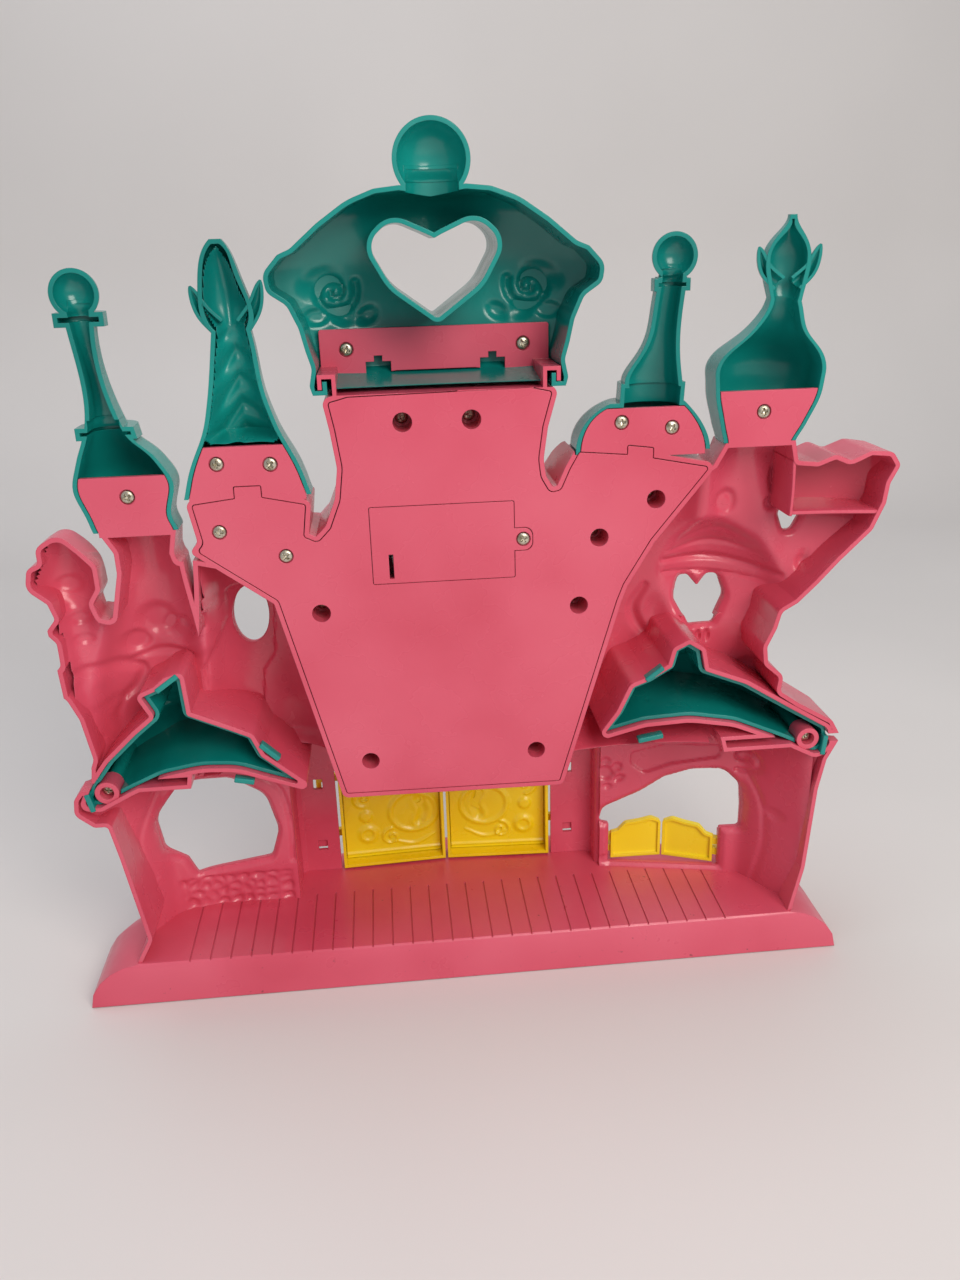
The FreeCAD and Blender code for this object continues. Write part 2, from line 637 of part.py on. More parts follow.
SPIRE_FAR_RIGHT = [
    ([(243.1, 117, 149, 25), (252, 115, 154, 29), (264, 112.5, 159, 31), (275, 112, 160, 31),
      (282, 118, 156, 27), (290, 127, 150, 19), (299, 133, 147.5, 13), (304, 134, 146.5, 10)], True, True),
    ([(301, 134, 147, 10), (311, 131.5, 149, 12), (318, 130.5, 150, 12), (326, 135, 146.5, 9),
      (334.5, 139.5, 142.5, 4)], True, False)]

SPIRE_SCREWS = {
    "far_left": [(-137, 232)], "left": [(-99, 244), (-77, 243)], "right": [(72, 254), (94, 251)],
    "far_right": [(134, 256)]}
PLATE_TOPS = {"far_left": 240.5, "left": 251, "right": 263, "far_right": 265}


def spire_form(stacks, tip, wall, back):
    solids = [u_form(rows, wall, back, low, high) for rows, low, high in stacks]
    if tip:
        x, h, radius = tip
        solids.append(ball(x, h, radius, wall))
    return fuse(solids)


SPIRES = {
    "far_left": (SPIRE_FAR_LEFT, BALL_FAR_LEFT), "left": (SPIRE_LEFT, None),
    "right": (SPIRE_RIGHT, BALL_RIGHT), "far_right": (SPIRE_FAR_RIGHT, None)}


def spire(name):
    """Open-backed teal spire with a screw pillar for each screw of its plate."""
    stacks, tip = SPIRES[name]
    outer = spire_form(stacks, tip, 0.0, 0.0)
    hollow = spire_form(stacks, tip, TEAL_WALL, 1.0)
    shell = outer.cut(hollow)
    start = PANEL_T + SEAT_GAP
    pillars = bosses_to_front(SPIRE_SCREWS[name], start, BOSS_D, outer)
    pilots = [pilot(x, start, h) for x, h in SPIRE_SCREWS[name]]
    return fuse([shell] + pillars).cut(pilots + [cover_room()])


def plate(name):
    """Upstand of the castle that closes the back of a spire. The spire's screws pass through it."""
    stacks, _ = SPIRES[name]
    rows = stacks[0][0]
    foot, left, right, _ = rows[0]
    room = spire_form(stacks[:1], None, TEAL_WALL + TEAL_GAP, 1.0)
    sheet = box(left, right, 0, PANEL_T, foot - WALL, PLATE_TOPS[name])
    ledge = box(left, right, 0, PANEL_T + WALL, foot - WALL, foot + WALL)
    reach = max(row[2] - row[1] for row in rows)
    wide = box(left - reach, right + reach, 0, PANEL_T, foot, PLATE_TOPS[name])
    return fuse([sheet, ledge, wide]).common(room)


def screw_cuts(places, t, through):
    """Recess for the head and a clearance hole, for screws driven from the play side."""
    cuts = [rod(x, t - 1, h, RECESS_D, RECESS_DEPTH + 1) for x, h in places]
    cuts += [rod(x, t - 1, h, SCREW_D + HOLE_GAP, through + 2) for x, h in places]
    return cuts


def screw(x, t, h):
    """Pan-head screw with its head starting at depth t."""
    head = rod(x, t, h, HEAD_D, HEAD_H)
    shank = rod(x, t + HEAD_H, h, SCREW_D, SCREW_LEN)
    return head.fuse(shank).removeSplitter()


# Crown

CROWN_HALF = [
    (0, 347, 0), (13, 349, 0), (23, 348, 10), (34, 344, 30), (46, 336, 30), (57, 327, 6), (62, 325, 3),
    (68.5, 318, 6), (67.5, 311, 5), (60, 306, 6), (56, 297, 10), (54, 288, 12), (CROWN_WAIST, 281, 6),
    (53.5, CROWN_SEAT_H + 4, 3), (CROWN_FOOT, CROWN_SEAT_H + HOOK_GAP, 1)]
CROWN_BALL = (0, 358, 15.2)
CROWN_DEPTH = 46.0
CROWN_FORM = [(260, -84, 75, 42), (290, -82, 73, 44), (318, -84, 75, CROWN_DEPTH), (340, -70, 61, 42),
              (350, -52, 43, 34)]
HEART = [(0, 299, 2), (18, 312, 20), (27, 328, 10), (17, 337, 9), (3, 331, 3), (0, 329.5, 0),
         (-3, 331, 3), (-17, 337, 9), (-27, 328, 10), (-18, 312, 20)]
TEE_X = 25.0
TEE_SLOT = [(5.5, 5.0, 10.0), (1.8, 9.0, 12.5)]


def shifted(points):
    return [(CENTRE_X + x, h, r) for x, h, r in points]


def mirrored(half):
    """Closed outline from a right half, drawn from the top down."""
    right = shifted(half)
    left = [(2 * CENTRE_X - x, h, r) for x, h, r in right if abs(x - CENTRE_X) > 0.01]
    return right + left[::-1]


def crown_body(wall):
    """Domed crown, or with a wall its hollow inside, open below."""
    half = list(CROWN_HALF)
    start = 0.0
    if wall > 0:
        half[-1] = (CROWN_FOOT, CROWN_SEAT_H - OPEN_RUN - wall, 0)
        start = -1.0
    slab = front_slab(mirrored(half), start, TOY_DEPTH, wall)
    body = slab.common(u_form(CROWN_FORM, wall, OPEN_BACK, True, False))
    x, h, radius = CROWN_BALL
    neck = [(340, CENTRE_X - 12.5, CENTRE_X + 12.5, 20), (352, CENTRE_X - 12, CENTRE_X + 12, 18)]
    return fuse([body, u_form(neck, wall, -start, True, True), ball(CENTRE_X + x, h, radius, wall)])


def crown_hooks():
    """Lips of the crown's side walls that curl under the castle's rails."""
    low = CROWN_SEAT_H + HOOK_GAP
    inner = CROWN_FOOT - TEAL_WALL - RAIL_T - 2 * HOOK_GAP - TEAL_WALL
    top = low + TEAL_WALL + RAIL_LIP
    bars = [(inner, CROWN_FOOT, low, low + TEAL_WALL), (inner, inner + TEAL_WALL, low, top)]
    pieces = []
    for side in (-1, 1):
        for a, b, h0, h1 in bars:
            x0, x1 = sorted((CENTRE_X + side * a, CENTRE_X + side * b))
            pieces.append(box(x0, x1, 0, CROWN_PANEL_DEPTH - 2, h0, h1))
    return pieces


def crown_screws():
    return [(CENTRE_X - CROWN_SCREW_HALF, CROWN_SCREW_H), (CENTRE_X + CROWN_SCREW_HALF, CROWN_SCREW_H)]


def crown():
    """Teal crown with a heart-shaped window, whose frame runs back to the rim plane."""
    outer = crown_body(0.0)
    shell = outer.cut(crown_body(TEAL_WALL))
    frame = front_slab(shifted(HEART), 0, TOY_DEPTH, -TEAL_WALL).common(outer)
    start = CROWN_PANEL_DEPTH + PANEL_T + SEAT_GAP
    pillars = bosses_to_front(crown_screws(), start, BOSS_D, outer)
    pilots = [pilot(x, start, h) for x, h in crown_screws()]
    whole = fuse([shell, frame] + pillars + crown_hooks())
    return whole.cut([front_slab(shifted(HEART), -1, TOY_DEPTH)] + pilots)


def crown_seat():
    """Panel behind the crown's balcony, and the two rails its hooks slide on."""
    t0 = CROWN_PANEL_DEPTH
    low = CROWN_SEAT_H - WALL
    top = CROWN_SEAT_H + CROWN_PANEL_HT
    half = CROWN_WAIST - TEAL_WALL - TEAL_GAP
    t1 = t0 + PANEL_T
    seat = CROWN_SEAT_H
    outline = [(-half, low, 0), (half, low, 0), (half, top, 1), (-half, top, 1)]
    arch = [(-34, seat, 0), (34, seat, 0), (20, seat + 6, 20), (-20, seat + 6, 20)]
    pieces = [front_slab(shifted(outline), t0, t1)]
    cuts = [front_slab(shifted(arch), t0 - 1, t1 + 1)]
    for side in (-1, 1):
        x = CENTRE_X + side * TEE_X
        for half_w, h0, h1 in TEE_SLOT:
            cuts.append(box(x - half_w, x + half_w, t0 - 1, t1 + 1, seat + h0, seat + h1))
        pieces += rail(side, low)
    return pieces, cuts


def rail(side, low):
    """Hooked rail: a web from the ledge, a top flange and a lip that hangs inside the crown's wall."""
    outer = CROWN_FOOT - TEAL_WALL - HOOK_GAP
    inner = outer - RAIL_W
    lip_low = CROWN_SEAT_H + HOOK_GAP + TEAL_WALL + HOOK_GAP
    top = CROWN_SEAT_H + RAIL_HT
    bars = [
        (inner, outer, top - RAIL_T, top), (outer - RAIL_T, outer, lip_low, top),
        (inner, inner + RAIL_T, low, top)]
    pieces = []
    for a, b, h0, h1 in bars:
        x0, x1 = sorted((CENTRE_X + side * a, CENTRE_X + side * b))
        pieces.append(box(x0, x1, 0, CROWN_PANEL_DEPTH + PANEL_T, h0, h1))
    return pieces


# Teal roofs, pushed in from the street side until their rims stand just behind the rim plane

ROOF_FORM_LEFT = [(80, -192, -66, 62), (100, -188, -64, 62), (122, -170, -84, 58), (140, -156, -106, 54),
                  (154, -148, -116, 50)]
ROOF_FORM_RIGHT = [(80, 56, 190, 60), (102, 60, 190, 60), (122, 66, 168, 58), (140, 84, 138, 54),
                   (156, 92, 122, 50)]
ROOF_BOSS_D = 11.0
ROOF_BOSS_END = 12.0
ROOF_BOSS_LEFT = (-166, 94)
ROOF_BOSS_RIGHT = (167, 97.5)


def roof(outline, rows, boss):
    """Teal roof: the outline of its opening, filled up to the roof's own half-round front."""
    outer = front_slab(outline, ROOF_SETBACK, TOY_DEPTH, TEAL_GAP).common(u_form(rows, 0.0, OPEN_BACK))
    hollow = front_slab(outline, ROOF_SETBACK - 1, TOY_DEPTH, TEAL_GAP + TEAL_WALL)
    shell = outer.cut(hollow.common(u_form(rows, TEAL_WALL, OPEN_BACK)))
    x, h = boss
    start = ROOF_BOSS_END + SEAT_GAP
    pillar = rod(x, start, h, BOSS_D, TOY_DEPTH).common(outer)
    clear = rod(x, 0, h, ROOF_BOSS_D + 2 * TEAL_GAP, start)
    return shell.cut(clear).fuse(pillar).cut(pilot(x, start, h))


# Castle front

def tongues(gap):
    """Feet under the walls, or with a gap the slots that take them."""
    places = [(-118, FRONT_T), (CENTRE_X - 76, PORCH_T), (CENTRE_X + 66, PORCH_T)]
    low = -TONGUE_DROP if gap == 0 else -FLOOR_H
    pieces = []
    for x, t in places:
        pieces.append(box(x - gap, x + TONGUE_W + gap, t - WALL - gap, t + gap, low, 1))
    return pieces


def door_opening():
    x0 = hinge_side(-1) - DOOR_SIDE_GAP
    x1 = hinge_side(1) + DOOR_SIDE_GAP
    return box(x0, x1, PORCH_T - WALL - 1, PORCH_T + 1, -1, DOOR_SILL + DOOR_HT + DOOR_TOP_GAP)


def oval_window():
    x, h, half_w, half_h = OVAL_WINDOW
    ellipse = Part.Ellipse(at(x, 30, h), half_h, half_w)
    edge = ellipse.toShape()
    edge.rotate(at(x, 30, h), V(1, 0, 0), 90)
    edge.rotate(at(x, 30, h), V(0, 1, 0), 90)
    return Part.Face(Part.Wire([edge])).extrude(V(0, 40, 0))


def cover_pillars():
    """Screw pillars between the front wall and the cover."""
    body = forms(0.0)
    deep = bosses_to_front(DEEP_SCREWS, WELL_DEPTH + PANEL_T + SEAT_GAP, BOSS_D, body)
    flush = bosses_to_front(FLUSH_SCREWS, PANEL_T + SEAT_GAP, BOSS_D, body)
    return deep + flush


def sound_seats():
    """Collar for the push button, ring for the speaker and posts for the circuit board."""
    body = forms(0.0)
    collar = rod(CENTRE_X, BUTTON_GUIDE, BUTTON_H, BUTTON_D + 2 * (BUTTON_GAP + BUTTON_COLLAR),
                 BUTTON_FACE - BUTTON_TRAVEL - 1 - BUTTON_GUIDE)
    cup = rod(CENTRE_X, SPEAKER_BACK, SPEAKER_H, SPEAKER_D + 2 * (SPEAKER_CLEAR + WALL), TOY_DEPTH)
    seat = rod(CENTRE_X, 0, SPEAKER_H, SPEAKER_D + 2 * SPEAKER_CLEAR, SPEAKER_BACK + SPEAKER_T)
    pieces = [collar, cup.common(body).cut(seat)]
    for a in (-1, 1):
        for b in (-1, 1):
            x = CENTRE_X + a * (BOARD_W / 2 - POST_INSET)
            h = BUTTON_H + b * (BOARD_HT / 2 - POST_INSET)
            pieces.append(rod(x, BOARD_BACK + BOARD_T + SEAT_GAP, h, POST_D, TOY_DEPTH).common(body))
    return pieces


def sound_cuts():
    cuts = [rod(CENTRE_X, 0, BUTTON_H, BUTTON_D + 2 * BUTTON_GAP, TOY_DEPTH)]
    cuts += [rod(CENTRE_X, SPEAKER_BACK, SPEAKER_H, SPEAKER_HOLE_D, TOY_DEPTH)]
    for i in range(6):
        angle = math.radians(60 * i)
        x = CENTRE_X + SPEAKER_HOLE_RING * math.cos(angle)
        h = SPEAKER_H + SPEAKER_HOLE_RING * math.sin(angle)
        cuts.append(rod(x, SPEAKER_BACK, h, SPEAKER_HOLE_D, TOY_DEPTH))
    return cuts


def castle_front():
    """Whole pink front: shell, plates, seats, pillars, bearings and feet, less its windows and bores."""
    seat_pieces, seat_cuts = crown_seat()
    pieces = [castle_shell()] + [plate(name) for name in SPIRES] + seat_pieces
    pieces += cover_pillars() + sound_seats() + hinge_lugs() + tongues(0)
    for x, h in (ROOF_BOSS_LEFT, ROOF_BOSS_RIGHT):
        pieces.append(rod(x, 1, h, ROOF_BOSS_D, ROOF_BOSS_END - 1))
    cuts = seat_cuts + sound_cuts() + hinge_slots() + [door_opening(), oval_window()]
    cuts.append(cover_room())
    cuts += [front_slab(points, 25, TOY_DEPTH) for points in (LEFT_WINDOW, RIGHT_WINDOW, APPLE_WINDOW)]
    cuts.append(front_slab(DROP_WINDOW, 10, TOY_DEPTH))
    for places in SPIRE_SCREWS.values():
        cuts += screw_cuts(places, 0, PANEL_T)
    cuts += screw_cuts(crown_screws(), CROWN_PANEL_DEPTH, PANEL_T)
    cuts += [pilot(x, WELL_DEPTH + PANEL_T, h) for x, h in DEEP_SCREWS]
    cuts += [pilot(x, PANEL_T, h) for x, h in FLUSH_SCREWS]
    for x, h in (ROOF_BOSS_LEFT, ROOF_BOSS_RIGHT):
        cuts.append(rod(x, 0, h, RECESS_D, ROOF_HEAD_T))
        cuts.append(rod(x, 0, h, SCREW_D + HOLE_GAP, ROOF_BOSS_END + 1))
    return fuse(pieces).cut(cuts).removeSplitter()


ROOF_HEAD_T = 6.0


# Base

BASE_STEPS = (0.0, 0.35, 0.62, 0.82, 0.95, 1.0)
STREET_POWER = 1.6
STREET_POINTS = 16


def base_wire(share, height, wall):
    """Plan of the base at a share of its height: straight play side, bulging street side."""
    k = 1 - math.sqrt(max(0.0, 1 - share * share))
    half = BASE_LENGTH / 2 - SKIRT_END * k - wall
    near = -BASE_DEPTH / 2 + LIP_DRAFT * k + wall
    start = -BASE_DEPTH / 2 + END_STRAIGHT
    bulge = BASE_DEPTH - END_STRAIGHT - SKIRT_STREET * k - wall
    z = share * height
    points = []
    for i in range(STREET_POINTS + 1):
        angle = math.pi * i / STREET_POINTS
        c = math.cos(angle)
        s = math.sin(angle)
        x = half * math.copysign(abs(c) ** (2 / STREET_POWER), c)
        points.append(V(x, start + bulge * max(s, 0.0) ** (2 / STREET_POWER), z))
    curve = Part.BSplineCurve()
    curve.interpolate(points)
    corners = [points[-1], V(-half, near, z), V(half, near, z), points[0]]
    edges = [curve.toShape()]
    edges += [Part.LineSegment(a, b).toShape() for a, b in zip(corners, corners[1:])]
    return Part.Wire(edges)


def base():
    """Hollow stand with a planked floor, ribs below and slots for the castle's feet."""
    outer = Part.makeLoft([base_wire(k, FLOOR_H, 0.0) for k in BASE_STEPS], True, True)
    hollow = Part.makeLoft([base_wire(k, FLOOR_H - BASE_WALL, BASE_WALL) for k in BASE_STEPS], True, True)
    half = BASE_LENGTH / 2
    ribs = [Part.makeBox(BASE_LENGTH, RIB_T, FLOOR_H - 1, V(-half, -RIB_T / 2, 0))]
    count = int(half / RIB_PITCH)
    for i in range(-count, count + 1):
        corner = V(i * RIB_PITCH - RIB_T / 2, -BASE_DEPTH / 2, 0)
        ribs.append(Part.makeBox(RIB_T, BASE_DEPTH, FLOOR_H - 1, corner))
    body = outer.cut(hollow.cut(ribs))
    grooves = []
    for i in range(PLANK_COUNT):
        x = CENTRE_X + (i - (PLANK_COUNT - 1) / 2) * PLANK_PITCH
        grooves.append(box(x - PLANK_GROOVE / 2, x + PLANK_GROOVE / 2, -OPEN_BACK, FRONT_T - WALL,
                           -PLANK_GROOVE_DEPTH, 1))
    return body.cut(grooves + tongues(TONGUE_GAP))


# Back cover with the battery box

BOX_IN_W = BATTERY_DOOR_W - 3.0
BOX_IN_HT = BATTERY_DOOR_HT - 3.0
BOX_DEPTH = BATTERY_DOOR_T + CELL_D + 2 * CELL_GAP
BATTERY_EAR = 5.0
BATTERY_EAR_X = BATTERY_X + BATTERY_DOOR_W / 2 + 3.0


def rectangle(x, h, width, height, radius):
    return [(x - width / 2, h - height / 2, radius), (x + width / 2, h - height / 2, radius),
            (x + width / 2, h + height / 2, radius), (x - width / 2, h + height / 2, radius)]


def door_outline(grow):
    """Battery door: a plate with a rounded ear for its screw."""
    half_w = BATTERY_DOOR_W / 2
    half_h = BATTERY_DOOR_HT / 2
    x0 = BATTERY_X - half_w
    x1 = BATTERY_X + half_w
    ear = BATTERY_EAR_X + BATTERY_EAR
    low = BATTERY_H - half_h
    high = BATTERY_H + half_h
    ear_low = BATTERY_H - BATTERY_EAR
    ear_high = BATTERY_H + BATTERY_EAR
    points = [
        (x0, low, 0.6), (x1, low, 0.6), (x1, ear_low, 0), (ear, ear_low, 4), (ear, ear_high, 4),
        (x1, ear_high, 0), (x1, high, 0.6), (x0, high, 0.6)]
    return inset(points, -grow)


def battery_screw():
    return BATTERY_EAR_X + 1.0, BATTERY_H


def back_cover():
    """Flat cover of the sound unit, with screw wells and the battery box moulded behind it."""
    start = PANEL_T - 0.2
    tray_end = BATTERY_DOOR_T + BOX_WALL
    solids = [front_slab(COVER, 0, PANEL_T)]
    for x, h in DEEP_SCREWS:
        solids.append(rod(x, start, h, WELL_D + 2 * WELL_WALL, WELL_DEPTH + PANEL_T - start))
    solids.append(front_slab(door_outline(BOX_WALL), start, tray_end))
    frame = rectangle(BATTERY_X, BATTERY_H, BOX_IN_W + 2 * BOX_WALL, BOX_IN_HT + 2 * BOX_WALL, 1)
    solids.append(front_slab(frame, start, BOX_DEPTH + BOX_WALL))
    x, h = battery_screw()
    solids.append(rod(x, start, h, BOSS_D, SCREW_LEN + 2))
    cuts = [rod(x, -1, h, WELL_D, WELL_DEPTH + 1) for x, h in DEEP_SCREWS]
    cuts += [rod(x, -1, h, SCREW_D + HOLE_GAP, WELL_DEPTH + PANEL_T + 2) for x, h in DEEP_SCREWS]
    cuts += screw_cuts(FLUSH_SCREWS, 0, PANEL_T)
    cuts.append(front_slab(door_outline(DOOR_FIT), -1, BATTERY_DOOR_T))
    room = rectangle(BATTERY_X, BATTERY_H, BOX_IN_W, BOX_IN_HT, 0.5)
    cuts.append(front_slab(room, 0, BOX_DEPTH))
    x, h = battery_screw()
    cuts.append(pilot(x, 0, h))
    return fuse(solids).cut(cuts).removeSplitter()


def battery_door():
    door_plate = front_slab(door_outline(0), 0, BATTERY_DOOR_T - SEAT_GAP)
    x, h = battery_screw()
    slot = box(BATTERY_X - 24, BATTERY_X - 22, -1, BATTERY_DOOR_T + 1, BATTERY_H - 15, BATTERY_H - 4)
    return door_plate.cut([slot, rod(x, -1, h, SCREW_D + HOLE_GAP, BATTERY_DOOR_T + 2),
                           rod(x, -1, h, RECESS_D, RECESS_DEPTH + 1)])


def cell_places():
    """Start of each cell's axis and its direction along X. The two lie in opposite directions."""
    t = BATTERY_DOOR_T + CELL_GAP + CELL_D / 2
    off = (CELL_D + CELL_GAP) / 2
    span = CELL_LEN + CELL_TIP
    reach = BOX_IN_W / 2 - CONTACT_T - CONTACT_GAP
    return [(BATTERY_X + side * reach, t, BATTERY_H - side * off, side, span) for side in (-1, 1)]


def cells():
    """Two round cells with their tips at opposite ends."""
    solids = []
    for x, t, h, side, span in cell_places():
        way = V(-side, 0, 0)
        tip = Part.makeCylinder(CELL_TIP_D / 2, CELL_TIP + 0.5, at(x, t, h), way)
        can = Part.makeCylinder(CELL_D / 2, CELL_LEN, at(x - side * CELL_TIP, t, h), way)
        solids.append(can.fuse(tip).removeSplitter())
    return Part.makeCompound(solids)


def contacts():
    """Contact plates at the cells' tips, and coil springs on plates at their flat ends."""
    solids = []
    for x, t, h, side, span in cell_places():
        tip_x = x + side * CONTACT_GAP
        half = CELL_D / 2 - 1
        x0, x1 = sorted((tip_x, tip_x + side * CONTACT_T))
        solids.append(box(x0, x1, t - half, t + half, h - half, h + half))
        flat = x - side * span
        wall_x = BATTERY_X - side * (BOX_IN_W / 2)
        reach = abs(wall_x - flat) - CONTACT_T
        x0, x1 = sorted((wall_x, wall_x + side * CONTACT_T))
        back = box(x0, x1, t - half, t + half, h - half, h + half)
        coil = spring(reach - SPRING_WIRE)
        coil.rotate(V(0, 0, 0), V(0, 1, 0), 90 * side)
        coil.translate(at(wall_x + side * (CONTACT_T + SPRING_WIRE / 2 - SPRING_BITE), t, h))
        solids.append(back.fuse(coil))
    return Part.makeCompound(solids)


def spring(length):
    """Coil spring along +Z, bent from short straight runs of wire."""
    radius = (SPRING_D - SPRING_WIRE) / 2
    steps = SPRING_TURNS * SPRING_SIDES
    points = []
    for i in range(steps + 1):
        angle = 2 * math.pi * i / SPRING_SIDES
        points.append(V(radius * math.cos(angle), radius * math.sin(angle), length * i / steps))
    path = Part.makePolygon(points)
    section = Part.makeCircle(SPRING_WIRE / 2, points[0], points[1] - points[0])
    return path.makePipeShell([Part.Wire([section])], True, True, 1)


# Sound unit

def circuit_board():
    """Board with a chip and the switch that the button presses."""
    face = BOARD_BACK + BOARD_T
    half_w = BOARD_W / 2
    half_h = BOARD_HT / 2
    board = box(CENTRE_X - half_w, CENTRE_X + half_w, BOARD_BACK, face, BUTTON_H - half_h, BUTTON_H + half_h)
    chip = box(CENTRE_X - 13, CENTRE_X - 6, face, face + 1.5, BUTTON_H - 4, BUTTON_H + 4)
    half = SWITCH_W / 2
    switch = box(CENTRE_X - half, CENTRE_X + half, face, face + SWITCH_T, BUTTON_H - half, BUTTON_H + half)
    plunger = rod(CENTRE_X, face + SWITCH_T, BUTTON_H, PLUNGER_D, PLUNGER_T)
    return fuse([board, chip, switch, plunger])


def speaker():
    """Small loudspeaker: a basket, its cone side and the magnet behind."""
    end = SPEAKER_BACK + SPEAKER_T - SEAT_GAP
    basket = rod(CENTRE_X, SPEAKER_BACK + MAGNET_T, SPEAKER_H, SPEAKER_D, end - SPEAKER_BACK - MAGNET_T)
    magnet = rod(CENTRE_X, SPEAKER_BACK, SPEAKER_H, MAGNET_D, MAGNET_T)
    foot = at(CENTRE_X, end - CONE_T, SPEAKER_H)
    cone = Part.makeCone(CONE_D_IN / 2, CONE_D_OUT / 2, CONE_T, foot, V(0, 1, 0))
    return basket.fuse(magnet).cut(cone).removeSplitter()


def push_button():
    """Round button on the street side, with a flange that keeps it in and a stem to the switch."""
    start = BUTTON_GUIDE - BUTTON_GAP
    cap = rod(CENTRE_X, start, BUTTON_H, BUTTON_D, BUTTON_FACE - start)
    flange = rod(CENTRE_X, start - BUTTON_FLANGE, BUTTON_H, BUTTON_D + 2 * BUTTON_COLLAR, BUTTON_FLANGE)
    tip = BOARD_BACK + BOARD_T + SWITCH_T + PLUNGER_T + BUTTON_TRAVEL + BUTTON_GAP
    stem = rod(CENTRE_X, tip, BUTTON_H, STEM_D, start - tip)
    return fuse([cap, flange, stem])


# Screws

def screws_cover():
    deep = [screw(x, WELL_DEPTH - HEAD_H - SEAT_GAP, h) for x, h in DEEP_SCREWS]
    flush = [screw(x, RECESS_DEPTH - HEAD_H, h) for x, h in FLUSH_SCREWS]
    return Part.makeCompound(deep + flush)


def screws_teal():
    solids = [screw(x, RECESS_DEPTH - HEAD_H, h) for places in SPIRE_SCREWS.values() for x, h in places]
    solids += [screw(x, CROWN_PANEL_DEPTH + RECESS_DEPTH - HEAD_H, h) for x, h in crown_screws()]
    solids += [screw(x, ROOF_HEAD_T - HEAD_H - SEAT_GAP, h) for x, h in (ROOF_BOSS_LEFT, ROOF_BOSS_RIGHT)]
    return Part.makeCompound(solids)


def screw_battery():
    x, h = battery_screw()
    return screw(x, RECESS_DEPTH - HEAD_H, h)


PARTS = {
    "base_stand": base,
    "castle_front": castle_front,
    "back_cover": back_cover,
    "battery_door": battery_door,
    "batteries": cells,
    "battery_contacts": contacts,
    "circuit_board": circuit_board,
    "speaker": speaker,
    "push_button": push_button,
    "crown_dome": crown,
    "spire_far_left": lambda: spire("far_left"),
    "spire_left": lambda: spire("left"),
    "spire_right": lambda: spire("right"),
    "spire_far_right": lambda: spire("far_right"),
    "roof_left": lambda: roof(ROOF_LEFT, ROOF_FORM_LEFT, ROOF_BOSS_LEFT),
    "roof_right": lambda: roof(ROOF_RIGHT, ROOF_FORM_RIGHT, ROOF_BOSS_RIGHT),
    "door_left": lambda: door(-1),
    "door_right": lambda: door(1),
    "gate_left": lambda: gate(-1),
    "gate_right": lambda: gate(1),
    "cover_screws": screws_cover,
    "teal_screws": screws_teal,
    "battery_door_screw": screw_battery,
}


def main():
    """Build every part and write one STEP file for each."""
    os.makedirs("parts", exist_ok=True)
    for name, make in PARTS.items():
        shape = make()
        shape.exportStep("parts/" + name + ".step")
        print(name, "solids", len(shape.Solids), "valid", shape.isValid())


if __name__ == "__main__":
    main()
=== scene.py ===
import json
import logging
import math
from dataclasses import dataclass, replace
from enum import Enum

import bmesh
import bpy
import numpy as np
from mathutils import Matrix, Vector

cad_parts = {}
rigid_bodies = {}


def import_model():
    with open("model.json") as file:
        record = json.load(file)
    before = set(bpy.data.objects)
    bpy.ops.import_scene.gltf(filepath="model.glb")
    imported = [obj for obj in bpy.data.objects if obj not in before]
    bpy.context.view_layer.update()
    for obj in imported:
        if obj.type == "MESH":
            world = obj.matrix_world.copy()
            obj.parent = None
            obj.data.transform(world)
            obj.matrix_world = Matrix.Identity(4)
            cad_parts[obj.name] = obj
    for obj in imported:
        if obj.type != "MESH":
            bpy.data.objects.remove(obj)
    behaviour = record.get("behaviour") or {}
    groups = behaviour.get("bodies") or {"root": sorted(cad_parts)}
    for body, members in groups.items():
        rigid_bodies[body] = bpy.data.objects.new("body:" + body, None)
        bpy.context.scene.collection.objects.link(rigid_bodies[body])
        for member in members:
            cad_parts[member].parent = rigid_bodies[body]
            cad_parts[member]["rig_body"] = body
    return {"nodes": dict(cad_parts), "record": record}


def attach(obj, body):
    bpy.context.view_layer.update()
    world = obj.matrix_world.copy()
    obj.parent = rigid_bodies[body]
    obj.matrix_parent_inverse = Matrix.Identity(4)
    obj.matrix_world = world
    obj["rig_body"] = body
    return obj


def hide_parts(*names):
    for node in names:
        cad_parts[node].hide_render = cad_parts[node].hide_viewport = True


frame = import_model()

# Looks of a toy castle moulded in pink, teal and yellow plastic, seen from its open play side.
# Drawing measures are millimetres: x to the right, h above the floor, t behind the rim plane.

LOG = logging.getLogger("toy_castle")
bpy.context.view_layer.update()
MM = 0.001
RIM_Y = -51.6
FLOOR_H = 21.0
CENTRE_X = -4.5
BURIED = 1.3
TEAL_WALL = 1.8
NOSE_SHARE = 0.55

Array = np.ndarray
Outline = tuple[tuple[float, float, float], ...]

LEFT_WING: Outline = (
    (20, -10, 0), (-168, -10, 0), (-165, 0, 0), (-158, 13, 4), (-165, 60, 40), (-168, 77, 2),
    (-174, 77, 3), (-182, 84, 5), (-181, 92, 5), (-173, 102, 4), (-169, 112, 5), (-172, 132, 8),
    (-176, 142, 6), (-184, 149, 3),
    (-182, 155, 3), (-176, 157, 4), (-176, 169, 3), (-180, 174, 3), (-175, 180, 2), (-177, 187, 2),
    (-185, 194, 6), (-183, 203, 4), (-178, 205, 2), (-178, 212, 5), (-168, 218, 7), (-160, 210, 6),
    (-154, 203, 6), (-154, 192, 4), (-158, 186, 2), (-156, 179, 3), (-151, 178, 3), (-146, 199, 8),
    (-146, 208, 4), (-151, 217, 0), (-119, 217, 0), (-121, 207, 0), (-120, 203, 3), (-112, 203, 3),
    (-60, 190, 0), (20, 60, 0))
